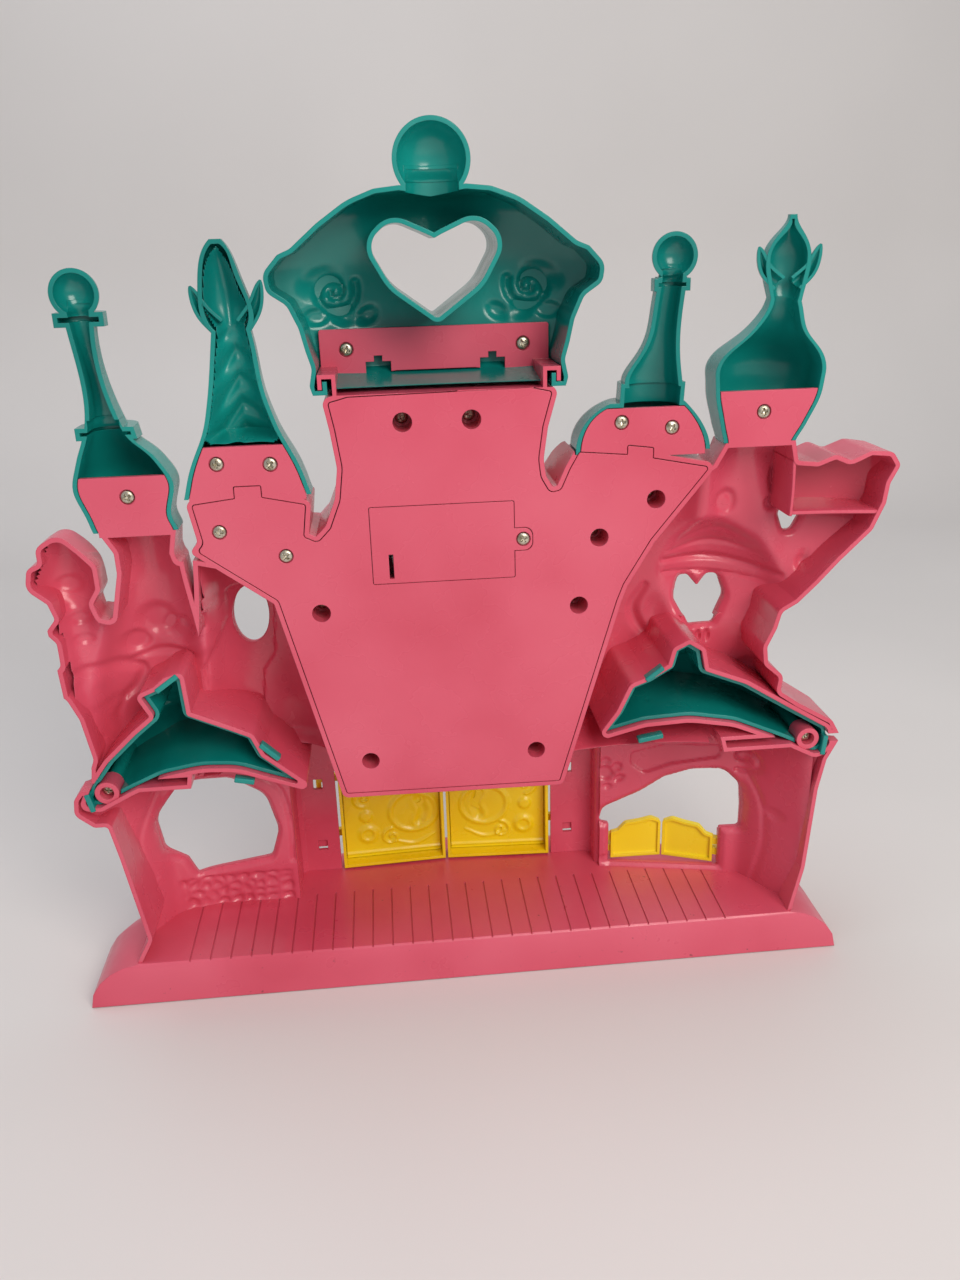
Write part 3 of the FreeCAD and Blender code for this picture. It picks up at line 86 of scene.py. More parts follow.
RIGHT_WING: Outline = (
    (-20, -10, 0), (-20, 60, 0), (60, 200, 0), (113, 234, 0), (118, 243, 0), (149, 243, 0), (151, 234, 1),
    (160, 233, 3), (168, 236, 4), (175, 233, 4), (184, 237, 5), (194, 236, 4), (198, 230, 3),
    (194, 222, 4), (193, 213, 4), (188, 201, 5), (174, 187, 5), (165, 177, 5), (156, 168, 4),
    (149, 164, 4), (147, 156, 3), (143, 147, 4), (144, 139, 3), (152, 132, 5), (151, 124, 3),
    (161, 117, 3), (178, 107, 4), (183, 98, 5), (177, 86, 4), (174, 70, 12), (171, 25, 30),
    (166, 0, 0), (168, -10, 0))
COVER: Outline = (
    (-56, 86, 1), (45, 85, 1), (71, 174, 3), (74, 182, 6), (86, 202, 4), (111, 233, 1), (86, 238, 0.5),
    (86, 242.5, 0.5), (75, 244, 0.5), (75, 240, 0.5), (54, 242, 1), (50, 235, 4), (46, 226, 3), (41, 225, 3),
    (37, 232, 8), (36, 240, 14), (38, 254, 12), (42, 268, 1), (33, 270, 1), (-43, 269, 1), (-51, 267, 1),
    (-49, 256, 12), (-47, 240, 14), (-49, 226, 10), (-54, 214, 4), (-60, 208, 3), (-66, 211, 2),
    (-64, 225, 1), (-82, 229, 0.5), (-82, 234, 0.5), (-93, 234, 0.5), (-93, 229, 0.5), (-111, 227, 1),
    (-108, 210, 6), (-111, 207, 2), (-79, 183, 4))
ROOF_LEFT: Outline = (
    (-126, 150, 1), (-125, 131, 2), (-106, 122, 8), (-98, 118, 3), (-94, 108, 3), (-75, 91, 1),
    (-91, 97, 20), (-106, 103, 30), (-122, 104, 40), (-140, 101, 30), (-156, 94, 20), (-170, 87, 4),
    (-177, 88, 3), (-173, 97, 8), (-163, 110, 10), (-149, 123, 8), (-139, 131, 3), (-144, 141, 1),
    (-137, 144, 1), (-132, 148, 1))
ROOF_RIGHT: Outline = (
    (106, 151, 1), (100, 148, 1), (98, 140, 1), (88, 134, 4), (80, 131, 3), (74, 118, 10), (66, 107, 1),
    (86, 112, 20), (108, 113, 40), (130, 109, 30), (155, 98, 20), (172, 89, 4), (178, 94, 4), (176, 103, 4),
    (158, 114, 8), (134, 129, 10), (114, 137, 2), (112, 147, 1))
LEFT_WINDOW: Outline = (
    (-140, 20, 1), (-101, 26, 4), (-96, 42, 12), (-101, 63, 12), (-118, 74, 12), (-143, 74, 10),
    (-156, 58, 12), (-154, 38, 8), (-144, 30, 4))
RIGHT_WINDOW: Outline = (
    (81.5, 2, 0), (81.5, 26, 1), (76, 27, 3), (78, 36, 6), (98, 47, 12), (110, 56, 10), (124, 61, 12),
    (140, 62, 10), (149, 53, 8), (150, 40, 20), (150, 27, 2), (140, 26, 1), (140, 2, 0))
OVAL_WINDOW: Outline = tuple(
    (-97.5 + 8.0 * math.cos(a), 163.0 + 15.0 * math.sin(a), 0.0)
    for a in (math.pi * k / 16 for k in range(32)))
APPLE_WINDOW: Outline = (
    (116, 147, 2), (128, 147, 2), (135, 160, 6), (132, 170, 5), (127, 170, 3), (122, 164, 0.6),
    (117, 170, 3), (112, 170, 5), (109, 160, 6))
DROP_WINDOW: Outline = ((152, 207, 3), (166, 207, 3), (160, 196, 3), (156, 196, 3))
HEART: Outline = tuple((CENTRE_X + x, h, r) for x, h, r in (
    (0, 299, 2), (18, 312, 20), (27, 328, 10), (17, 337, 9), (3, 331, 3), (0, 329.5, 0),
    (-3, 331, 3), (-17, 337, 9), (-27, 328, 10), (-18, 312, 20)))
CROWN_HALF: Outline = (
    (0, 347, 0), (13, 349, 0), (23, 348, 10), (34, 344, 30), (46, 336, 30), (57, 327, 6), (62, 325, 3),
    (68.5, 318, 6), (67.5, 311, 5), (60, 306, 6), (56, 297, 10), (54, 288, 12), (52, 281, 6))


class Slot(Enum):
    """Material slots of the record, by what they stand for."""

    PINK = "pink_plastic"
    TEAL = "teal_plastic"
    YELLOW = "yellow_plastic"
    SCREW = "screw_steel"
    CONTACT = "contact_steel"
    CELL = "battery_steel"
    BOARD = "board"
    SPEAKER = "speaker_steel"


def linear(code: str) -> tuple[float, float, float, float]:
    """Turn an sRGB hex colour into linear light.

    Args:
        code: six hex digits.

    Returns:
        Red, green, blue and alpha, in linear light.
    """
    parts = [int(code[i:i + 2], 16) / 255 for i in (0, 2, 4)]
    lit = [c / 12.92 if c <= 0.04045 else ((c + 0.055) / 1.055) ** 2.4 for c in parts]
    return lit[0], lit[1], lit[2], 1.0


def add(tree: bpy.types.NodeTree, kind: str, links: dict | None = None, settings: dict | None = None,
        **values: object) -> bpy.types.Node:
    """Add a node with its settings and links.

    Args:
        tree: the material's node tree.
        kind: the node's type name.
        links: input name or number to the output that feeds it.
        settings: the node's own properties.
        values: input values, with underscores for spaces.

    Returns:
        The new node.
    """
    node = tree.nodes.new(kind)
    for name, value in (settings or {}).items():
        setattr(node, name, value)
    for name, value in values.items():
        node.inputs[name.replace("_", " ")].default_value = value
    for name, output in (links or {}).items():
        tree.links.new(output, node.inputs[name])
    return node


def ramp(tree: bpy.types.NodeTree, source: bpy.types.NodeSocket,
         stops: tuple[tuple[float, str], ...]) -> bpy.types.NodeSocket:
    """Colours along a grey value.

    Args:
        tree: the material's node tree.
        source: output with the grey value.
        stops: place and hex colour of each stop.

    Returns:
        The colour output.
    """
    node = add(tree, "ShaderNodeValToRGB", {"Fac": source})
    bar = node.color_ramp
    while len(bar.elements) < len(stops):
        bar.elements.new(0.5)
    for element, (place, code) in zip(bar.elements, stops):
        element.position = place
        element.color = linear(code)
    return node.outputs["Color"]


@dataclass(frozen=True)
class Finish:
    """What every finish shares: its material's name and main colour, and how its tree starts and ends."""

    name: str
    colour: str

    def started(self) -> tuple[bpy.types.Material, bpy.types.NodeTree, bpy.types.NodeSocket]:
        """Start the material.

        Returns:
            An empty node material, its tree and the object's own coordinates.
        """
        material = bpy.data.materials.new(self.name)
        material.use_nodes = True
        tree = material.node_tree
        tree.nodes.clear()
        return material, tree, add(tree, "ShaderNodeTexCoord").outputs["Object"]

    @staticmethod
    def ended(tree: bpy.types.NodeTree, colour: bpy.types.NodeSocket, rough: bpy.types.Node,
              normal: bpy.types.Node, **values: float) -> None:
        """Join colour, roughness and normal in a shader.

        Args:
            tree: the material's node tree.
            colour: output with the colour.
            rough: node whose Result is the roughness.
            normal: node whose Normal is the normal.
            values: the shader's own values.
        """
        shader = add(tree, "ShaderNodeBsdfPrincipled", {
            "Base Color": colour, "Roughness": rough.outputs["Result"],
            "Normal": normal.outputs["Normal"]}, **values)
        add(tree, "ShaderNodeOutputMaterial", {"Surface": shader.outputs["BSDF"]})


@dataclass(frozen=True)
class MouldedPlastic(Finish):
    """Glossy injection-moulded ABS: clean gleams, softened by a faint ripple of the melt's flow."""

    pale: str
    deep: str
    gloss: float = 0.24
    ripple_mm: float = 9.0
    grain_mm: float = 0.45
    dirt: float = 0.0
    edge_mm: float = 0.45
    ior: float = 1.53

    def build(self) -> bpy.types.Material:
        """Make the node material."""
        material, tree, place = self.started()
        # Blotches of about 70 mm, as thick and thin walls show the pigment a little differently.
        blotch = add(tree, "ShaderNodeTexNoise", {"Vector": place}, Scale=14.0, Detail=2.0, Roughness=0.5)
        colour = ramp(tree, blotch.outputs["Fac"], ((0.34, self.deep), (0.5, self.colour), (0.68, self.pale)))
        # Rubbed grime in specks of about a millimetre, drawn coarser than real dust so that it shows.
        specks = add(tree, "ShaderNodeTexNoise", {"Vector": place}, Scale=240.0, Detail=4.0, Roughness=0.62)
        speck = add(tree, "ShaderNodeMapRange", {"Value": specks.outputs["Fac"]},
                    From_Min=0.69, From_Max=0.76, To_Min=0.0, To_Max=self.dirt)
        dusty = add(tree, "ShaderNodeMix", {"Factor": speck.outputs["Result"], "A": colour},
                    {"data_type": "RGBA"})
        dusty.inputs["B"].default_value = linear("4A2A26")
        # Roughness wanders in patches of 25 mm, where hands have polished or dulled the face.
        handled = add(tree, "ShaderNodeTexNoise", {"Vector": place}, Scale=40.0, Detail=3.0, Roughness=0.6)
        rough = add(tree, "ShaderNodeMapRange", {"Value": handled.outputs["Fac"]},
                    From_Min=0.3, From_Max=0.7, To_Min=self.gloss - 0.05, To_Max=self.gloss + 0.1)
        flow = add(tree, "ShaderNodeTexNoise", {"Vector": place}, Scale=1 / (self.ripple_mm * MM), Detail=1.0)
        grain = add(tree, "ShaderNodeTexNoise", {"Vector": place}, Scale=1 / (self.grain_mm * MM), Detail=2.0)
        soft = add(tree, "ShaderNodeBevel", settings={"samples": 4}, Radius=self.edge_mm * MM)
        wave = add(tree, "ShaderNodeBump", {"Height": flow.outputs["Fac"], "Normal": soft.outputs["Normal"]},
                   Strength=0.25, Distance=0.0006)
        skin = add(tree, "ShaderNodeBump", {"Height": grain.outputs["Fac"], "Normal": wave.outputs["Normal"]},
                   Strength=0.12, Distance=0.00002)
        self.ended(tree, dusty.outputs[2], rough, skin, IOR=self.ior)
        return material


@dataclass(frozen=True)
class PlatedSteel(Finish):
    """Steel with a thin bright plating: metallic, with fine turning marks and dull stains in the plating."""

    stain: str
    rough: float = 0.28
    mark_mm: float = 0.35

    def build(self) -> bpy.types.Material:
        """Make the node material."""
        material, tree, place = self.started()
        cloud = add(tree, "ShaderNodeTexNoise", {"Vector": place}, Scale=420.0, Detail=4.0, Roughness=0.65)
        colour = ramp(tree, cloud.outputs["Fac"], ((0.35, self.stain), (0.56, self.colour)))
        rough = add(tree, "ShaderNodeMapRange", {"Value": cloud.outputs["Fac"]},
                    From_Min=0.3, From_Max=0.7, To_Min=self.rough + 0.16, To_Max=self.rough)
        marks = add(tree, "ShaderNodeTexNoise", {"Vector": place}, Scale=1 / (self.mark_mm * MM), Detail=3.0)
        bump = add(tree, "ShaderNodeBump", {"Height": marks.outputs["Fac"]}, Strength=0.3, Distance=0.00005)
        self.ended(tree, colour, rough, bump, Metallic=1.0)
        return material


@dataclass(frozen=True)
class PaintedSheet(Finish):
    """Lacquer or print over a hard core: an even coat with faint orange peel and small scuffs."""

    scuff: str
    rough: float = 0.4
    peel_mm: float = 1.2
    ior: float = 1.5

    def build(self) -> bpy.types.Material:
        """Make the node material."""
        material, tree, place = self.started()
        cloud = add(tree, "ShaderNodeTexNoise", {"Vector": place}, Scale=160.0, Detail=5.0, Roughness=0.6)
        colour = ramp(tree, cloud.outputs["Fac"], ((0.45, self.colour), (0.72, self.scuff)))
        peel = add(tree, "ShaderNodeTexNoise", {"Vector": place}, Scale=1 / (self.peel_mm * MM), Detail=1.0)
        rough = add(tree, "ShaderNodeMapRange", {"Value": peel.outputs["Fac"]},
                    From_Min=0.3, From_Max=0.7, To_Min=self.rough, To_Max=self.rough + 0.12)
        bump = add(tree, "ShaderNodeBump", {"Height": peel.outputs["Fac"]}, Strength=0.2, Distance=0.00005)
        self.ended(tree, colour, rough, bump, IOR=self.ior)
        return material


FINISHES = {
    Slot.PINK: MouldedPlastic("moulded_pink_abs", "D8556D", "DC5D74", "D04A62", dirt=0.0),
    Slot.TEAL: MouldedPlastic("moulded_teal_abs", "0C8A83", "12938B", "087C76", gloss=0.2),
    Slot.YELLOW: MouldedPlastic("moulded_yellow_abs", "F8E01A", "FAE62C", "F2D612", gloss=0.26),
    Slot.SCREW: PlatedSteel("zinc_plated_steel", "CFC9B8", "8E8468"),
    Slot.CONTACT: PlatedSteel("nickel_plated_spring_steel", "D2D0CC", "A9A59C", rough=0.2),
    Slot.CELL: PaintedSheet("printed_cell_sleeve", "2B2C30", "45464B", rough=0.35),
    Slot.BOARD: PaintedSheet("lacquered_glass_fibre_board", "1E5A34", "2C6B42", rough=0.3),
    Slot.SPEAKER: PaintedSheet("painted_speaker_basket", "232325", "38383A", rough=0.5)}
FLOOR_PLASTIC = MouldedPlastic("moulded_pink_abs_floor", "D8556D", "DC5D74", "D04A62", gloss=0.3, dirt=0.75)


class Palette:
    """The finishes as materials, each made once."""

    def __init__(self) -> None:
        """Build every finish."""
        self.by_slot = {slot: finish.build() for slot, finish in FINISHES.items()}
        self.floor = FLOOR_PLASTIC.build()


# Numbers along curves, and outlines

def slopes(xs: Array, ys: Array) -> Array:
    """Slopes of a smooth curve that never overshoots its points: harmonic means of the runs beside each.

    Args:
        xs: rising places.
        ys: values there.

    Returns:
        The slope at each place.
    """
    runs = np.diff(ys) / np.diff(xs)
    a, b = runs[:-1], runs[1:]
    same = a * b > 0
    inner = np.where(same, 2 * a * b / np.where(same, a + b, 1.0), 0.0)
    return np.concatenate([runs[:1], inner, runs[-1:]])


def along(xs: Array, ys: Array, at: Array) -> Array:
    """Values of that smooth curve, as cubic pieces with the slopes above.

    Args:
        xs: rising places.
        ys: values there.
        at: where the curve is read.

    Returns:
        The curve's values.
    """
    m = slopes(xs, ys)
    i = np.clip(np.searchsorted(xs, at, side="right") - 1, 0, len(xs) - 2)
    run = xs[i + 1] - xs[i]
    s = np.clip((at - xs[i]) / run, 0.0, 1.0)
    start = (1 + 2 * s) * (1 - s) ** 2 * ys[i] + s * (1 - s) ** 2 * run * m[i]
    return start + s * s * (3 - 2 * s) * ys[i + 1] + s * s * (s - 1) * run * m[i + 1]


def soft_step(value: Array) -> Array:
    """0 below 0, 1 above 1, and a smooth S between."""
    s = np.clip(value, 0.0, 1.0)
    return s * s * (3 - 2 * s)


def rounded(outline: Outline, steps: int = 7) -> Array:
    """Corner points of an outline with its corners turned into arcs.

    Each arc touches both runs, as far from the corner as radius over the tangent of half its angle.

    Args:
        outline: x, h and radius of each corner.
        steps: points on each arc.

    Returns:
        n by 2 array of x and h.
    """
    corners = np.array(outline, float)
    points: list[Array] = []
    for before, (x, h, radius), after in zip(np.roll(corners, 1, 0), corners, np.roll(corners, -1, 0)):
        here = np.array([x, h])
        ua, ub = before[:2] - here, after[:2] - here
        la, lb = np.linalg.norm(ua), np.linalg.norm(ub)
        ua, ub = ua / la, ub / lb
        half = math.acos(float(np.clip(ua @ ub, -1, 1))) / 2
        run = min(radius / math.tan(half), 0.46 * la, 0.46 * lb) if radius else 0.0
        if run < 0.05 or half > math.radians(89):
            points.append(here[None])
            continue
        size = run * math.tan(half)
        middle = here + (ua + ub) / np.linalg.norm(ua + ub) * run / math.cos(half)
        first = math.atan2(*(here + ua * run - middle)[::-1])
        last = math.atan2(*(here + ub * run - middle)[::-1])
        turn = (last - first + math.pi) % (2 * math.pi) - math.pi
        angles = first + turn * np.linspace(0, 1, steps)
        points.append(middle + size * np.stack([np.cos(angles), np.sin(angles)], 1))
    return np.concatenate(points)


def signed_distance(polygon: Array, points: Array) -> tuple[Array, Array]:
    """Distance of points to a closed polygon, negative inside: the least over its edges, signed by crossings.

    Args:
        polygon: n by 2 array of corners.
        points: m by 2 array of places.

    Returns:
        The distances, and the unit directions in which they grow.
    """
    a = polygon
    e = np.roll(polygon, -1, 0) - a
    keep = (e ** 2).sum(1) > 1e-9
    a, e = a[keep], e[keep]
    b = a + e
    values, ways = [], []
    for part in np.array_split(points, max(1, len(points) // 8000)):
        w = part[:, None, :] - a[None]
        s = np.clip((w * e).sum(-1) / (e * e).sum(-1), 0, 1)
        gap = w - e * s[..., None]
        square = (gap ** 2).sum(-1)
        k = square.argmin(1)
        row = np.arange(len(part))
        reach = np.sqrt(square[row, k])
        crosses = (a[:, 1] <= part[:, 1:2]) != (b[:, 1] <= part[:, 1:2])
        rise = np.where(np.abs(e[:, 1]) < 1e-9, 1.0, e[:, 1])
        at = a[:, 0] + (part[:, 1:2] - a[:, 1]) / rise * e[:, 0]
        inside = (crosses & (part[:, 0:1] < at)).sum(1) % 2 == 1
        sign = np.where(inside, -1.0, 1.0)
        ways.append(sign[:, None] * gap[row, k] / np.maximum(reach, 1e-9)[:, None])
        values.append(sign * reach)
    return np.concatenate(values), np.concatenate(ways)


def path_distance(points: Array, path: Array) -> tuple[Array, Array]:
    """Distance of points to an open run of points: the least over its stretches.

    Args:
        points: m by 2 array of places.
        path: n by 2 array along the run.

    Returns:
        The distances, and how far along the run the nearest place lies, from 0 to 1.
    """
    a, e = path[:-1], np.diff(path, axis=0)
    lengths = np.linalg.norm(e, axis=1)
    starts = np.concatenate([[0.0], np.cumsum(lengths)])
    w = points[:, None, :] - a[None]
    s = np.clip((w * e).sum(-1) / (e * e).sum(-1), 0, 1)
    reach = np.linalg.norm(w - e * s[..., None], axis=-1)
    k = reach.argmin(1)
    row = np.arange(len(points))
    return reach[row, k], (starts[k] + s[row, k] * lengths[k]) / starts[-1]


def smooth_path(points: tuple[tuple[float, float], ...], count: int = 40) -> Array:
    """Even points on a smooth curve through a few: cubic pieces whose slopes are the mean runs at each point.

    Args:
        points: x and h of the few points.
        count: how many points to return.

    Returns:
        count by 2 array along the curve.
    """
    p = np.array(points, float)
    at = np.concatenate([[0.0], np.cumsum(np.linalg.norm(np.diff(p, axis=0), axis=1))])
    s = np.linspace(0, at[-1], count)
    m = np.gradient(p, at, axis=0)
    i = np.clip(np.searchsorted(at, s, side="right") - 1, 0, len(at) - 2)
    run = (at[i + 1] - at[i])[:, None]
    u = ((s - at[i]) / run[:, 0])[:, None]
    return ((1 + 2 * u) * (1 - u) ** 2 * p[i] + u * (1 - u) ** 2 * run * m[i]
            + u * u * (3 - 2 * u) * p[i + 1] + u * u * (u - 1) * run * m[i + 1])


# Ornaments of the mouldings, each a height in millimetres over x and h

@dataclass(frozen=True)
class Dome:
    """Rounded lump: an ellipse whose height falls off as a smooth step towards its edge."""

    x: float
    h: float
    wide: float
    tall: float
    rise: float
    turn: float = 0.0
    edge: float = 0.55

    def height(self, points: Array) -> Array:
        """Height at each point."""
        c, s = math.cos(math.radians(self.turn)), math.sin(math.radians(self.turn))
        d = points - np.array([self.x, self.h])
        u = (d[:, 0] * c + d[:, 1] * s) / self.wide
        v = (-d[:, 0] * s + d[:, 1] * c) / self.tall
        return self.rise * soft_step((1 - np.hypot(u, v)) / self.edge)


@dataclass(frozen=True)
class Ridge:
    """Bead along a smooth line, round in section, that thins out towards its ends when tapered."""

    line: tuple[tuple[float, float], ...]
    width: float
    rise: float
    taper: float = 0.0

    def height(self, points: Array) -> Array:
        """Height at each point."""
        reach, share = path_distance(points, smooth_path(self.line))
        thin = 1 - self.taper * np.abs(2 * share - 1) ** 2
        return self.rise * thin * soft_step(1 - reach / (self.width * np.maximum(thin, 0.15)))


@dataclass(frozen=True)
class Beads(Ridge):
    """Ridge broken into rounded beads of even length."""

    count: int = 6

    def height(self, points: Array) -> Array:
        """Height at each point."""
        reach, share = path_distance(points, smooth_path(self.line))
        pulse = 0.35 + 0.65 * np.abs(np.sin(math.pi * self.count * share))
        return self.rise * pulse * soft_step(1 - reach / (self.width * (0.55 + 0.45 * pulse)))


@dataclass(frozen=True)
class Curl:
    """Scroll: a bead wound on a spiral whose radius grows evenly with its angle."""

    x: float
    h: float
    radius: float
    turns: float
    width: float
    rise: float
    start: float = 0.0
    sense: float = 1.0

    def height(self, points: Array) -> Array:
        """Height at each point."""
        angles = np.linspace(0, 2 * math.pi * self.turns, int(28 * self.turns))
        r = self.radius * (0.12 + 0.88 * angles / angles[-1])
        a = math.radians(self.start) - self.sense * (angles[-1] - angles)
        line = np.stack([self.x + r * np.cos(a), self.h + r * np.sin(a)], 1)
        reach, share = path_distance(points, line)
        thick = self.width * (0.6 + 0.4 * share)
        return self.rise * soft_step(1 - reach / thick)


@dataclass(frozen=True)
class Plateau:
    """Flat raised field with soft edges, inside an outline."""

    outline: Outline
    rise: float
    edge: float = 1.2

    def height(self, points: Array) -> Array:
        """Height at each point."""
        value, _ = signed_distance(rounded(self.outline), points)
        return self.rise * soft_step(-value / self.edge)


@dataclass(frozen=True)
class Stones:
    """Rubble: rounded stones on a jittered grid inside a strip, each a low dome with a groove round it."""

    low: tuple[float, float]
    high: tuple[float, float]
    size: float
    rise: float
    seed: int
    edge: float = 3.0

    def height(self, points: Array) -> Array:
        """Height at each point."""
        rng = np.random.default_rng(self.seed)
        xs = np.arange(self.low[0] - self.size, self.high[0] + 2 * self.size, self.size)
        hs = np.arange(self.low[1] - self.size, self.high[1] + 2 * self.size, self.size * 0.75)
        gx, gh = np.meshgrid(xs, hs)
        seeds = np.stack([gx.ravel(), gh.ravel()], 1) + rng.uniform(-0.36, 0.36, (gx.size, 2)) * self.size
        near = np.sort(np.linalg.norm(points[:, None] - seeds[None], axis=-1), axis=1)[:, :2]
        body = soft_step((near[:, 1] - near[:, 0]) / (0.75 * self.size))
        x, h = points[:, 0], points[:, 1]
        inside = np.minimum.reduce([x - self.low[0], self.high[0] - x, h - self.low[1], self.high[1] - h])
        return self.rise * (0.35 + 0.65 * body) * soft_step(inside / self.edge)


@dataclass(frozen=True)
class Ribs:
    """Slanting ribs, as on a twisted cap: a wave across the slant."""

    low: float
    high: float
    pitch: float
    lean: float
    rise: float
    middle: float

    def height(self, points: Array) -> Array:
        """Height at each point."""
        x, h = points[:, 0] - self.middle, points[:, 1]
        wave = 0.5 + 0.5 * np.sin(2 * math.pi * (h + self.lean * np.abs(x) - 0.35 * x) / self.pitch)
        fade = soft_step((h - self.low) / 5) * soft_step((self.high - h) / 5)
        return self.rise * fade * wave ** 1.5


Ornament = Dome | Ridge | Beads | Curl | Plateau | Stones | Ribs


# Half-round forms and the skins moulded over them

@dataclass(frozen=True)
class Form:
    """Half-round form: at each height straight cheeks and then an elliptical nose towards the street."""

    rows: tuple[tuple[float, float, float, float], ...]

    def depth(self, x: Array, h: Array, wall: float) -> Array:
        """Depth of the street wall: cheek plus nose times the root of one minus the offset squared."""
        rows = np.array(self.rows, float)
        left, right, deep = (along(rows[:, 0], rows[:, k], h) for k in (1, 2, 3))
        half = (right - left) / 2 - wall
        offset = (x - (left + right) / 2) / half
        deep = deep - wall
        nose = np.minimum(half, deep * NOSE_SHARE)
        inside = (np.abs(offset) < 1 + BURIED / half) & (h > rows[0, 0]) & (h < rows[-1, 0])
        return np.where(inside, deep - nose + nose * np.sqrt(np.maximum(0, 1 - offset ** 2)), -1.0)


@dataclass(frozen=True)
class LowerWall:
    """Ground-floor wall, straight up from its plan."""

    plan: tuple[tuple[float, float], ...]
    top: float

    def depth(self, x: Array, h: Array, wall: float) -> Array:
        """Depth of the wall at x, set in square to each run of the plan."""
        p = np.array(self.plan, float)
        i = np.clip(np.searchsorted(p[:, 0], x) - 1, 0, len(p) - 2)
        slope = (p[i + 1, 1] - p[i, 1]) / (p[i + 1, 0] - p[i, 0])
        t = p[i, 1] + (x - p[i, 0]) * slope - wall * np.sqrt(1 + slope ** 2)
        return np.where(h < self.top - wall, t, -1.0)


FAR_LEFT_TOWER = Form((
    (100, -172, -112, 40), (150, -168, -112, 38), (190, -154, -116, 32), (217, -152, -118, 27)))
SMALL_TURRET = Form(((110, -176, -140, 18), (160, -178, -152, 19), (186, -180, -156, 19)))
SMALL_TURRET_TOP = Form((
    (180, -187, -152, 20), (194, -186, -153, 22), (205, -182, -154, 20), (220, -176, -160, 12)))
LEFT_TOWER = Form(((70, -134, -50, 50), (150, -120, -55, 50), (200, -114, -58, 44), (229.5, -114, -60, 34)))
RIGHT_TOWER = Form(((70, 40, 132, 52), (150, 46, 118, 52), (205, 44, 120, 42), (241, 46, 116, 32)))
FAR_RIGHT_TOWER = Form(((100, 84, 188, 42), (150, 92, 160, 40), (200, 104, 156, 32), (243, 116, 151, 26)))
BALCONY = Form(((204, 130, 200, 30), (240, 130, 202, 34)))
CORBEL = Form(((120, 120, 160, 26), (160, 124, 168, 27), (190, 128, 190, 28), (208, 130, 200, 29)))
CANOPY = Form(((150, 86, 156, 44), (172, 84, 160, 50), (190, 92, 152, 46), (204, 106, 140, 34)))
LEFT_GROUND = LowerWall(((-184, 8), (-176, 12), (-154, 45), (-134, 50), (-88, 50)), 96.0)
RIGHT_GROUND = LowerWall(((75, 59.2), (76, 59), (152, 43), (174, 8), (184, 4)), 96.0)
ROOF_FORM_LEFT = Form(((80, -192, -66, 62), (100, -188, -64, 62), (122, -170, -84, 58), (140, -156, -106, 54),
                       (154, -148, -116, 50)))
ROOF_FORM_RIGHT = Form(((80, 56, 190, 60), (102, 60, 190, 60), (122, 66, 168, 58), (140, 84, 138, 54),
                        (156, 92, 122, 50)))
CROWN_FORM = Form(((260, -84, 75, 42), (290, -82, 73, 44), (318, -84, 75, 46), (340, -70, 61, 42),
                   (350, -52, 43, 34)))


SPIRE_LEFT_FORMS = (
    Form(((229.6, -114, -61, 30), (241, -110.5, -64.5, 30), (259, -102.5, -72.5, 23), (276, -98.5, -77, 17),
          (291, -96, -78.5, 13), (300, -94.5, -80, 11))),
    Form(((297, -95, -80, 11), (306, -99, -77.5, 13), (313, -98.5, -80.5, 13), (323, -97, -83, 10),
          (331.5, -92, -87.5, 5))))


def spread(grid: Array, reach: int) -> Array:
    """Least value within a few cells, one axis after the other.

    Args:
        grid: values on a grid.
        reach: how many cells to each side count.

    Returns:
        The grid of least values.
    """
    result = grid
    for axis in (0, 1):
        shifted = [np.roll(result, k, axis) for k in range(-reach, reach + 1)]
        result = np.minimum.reduce(shifted)
    return result


def blurred(grid: Array, reach: int) -> Array:
    """Mean over a few cells, twice on each axis, which is close to a bell curve.

    Args:
        grid: values on a grid.
        reach: how many cells to each side count.

    Returns:
        The softened grid.
    """
    result = grid
    for axis in (0, 1, 0, 1):
        result = sum(np.roll(result, k, axis) for k in range(-reach, reach + 1)) / (2 * reach + 1)
    return result


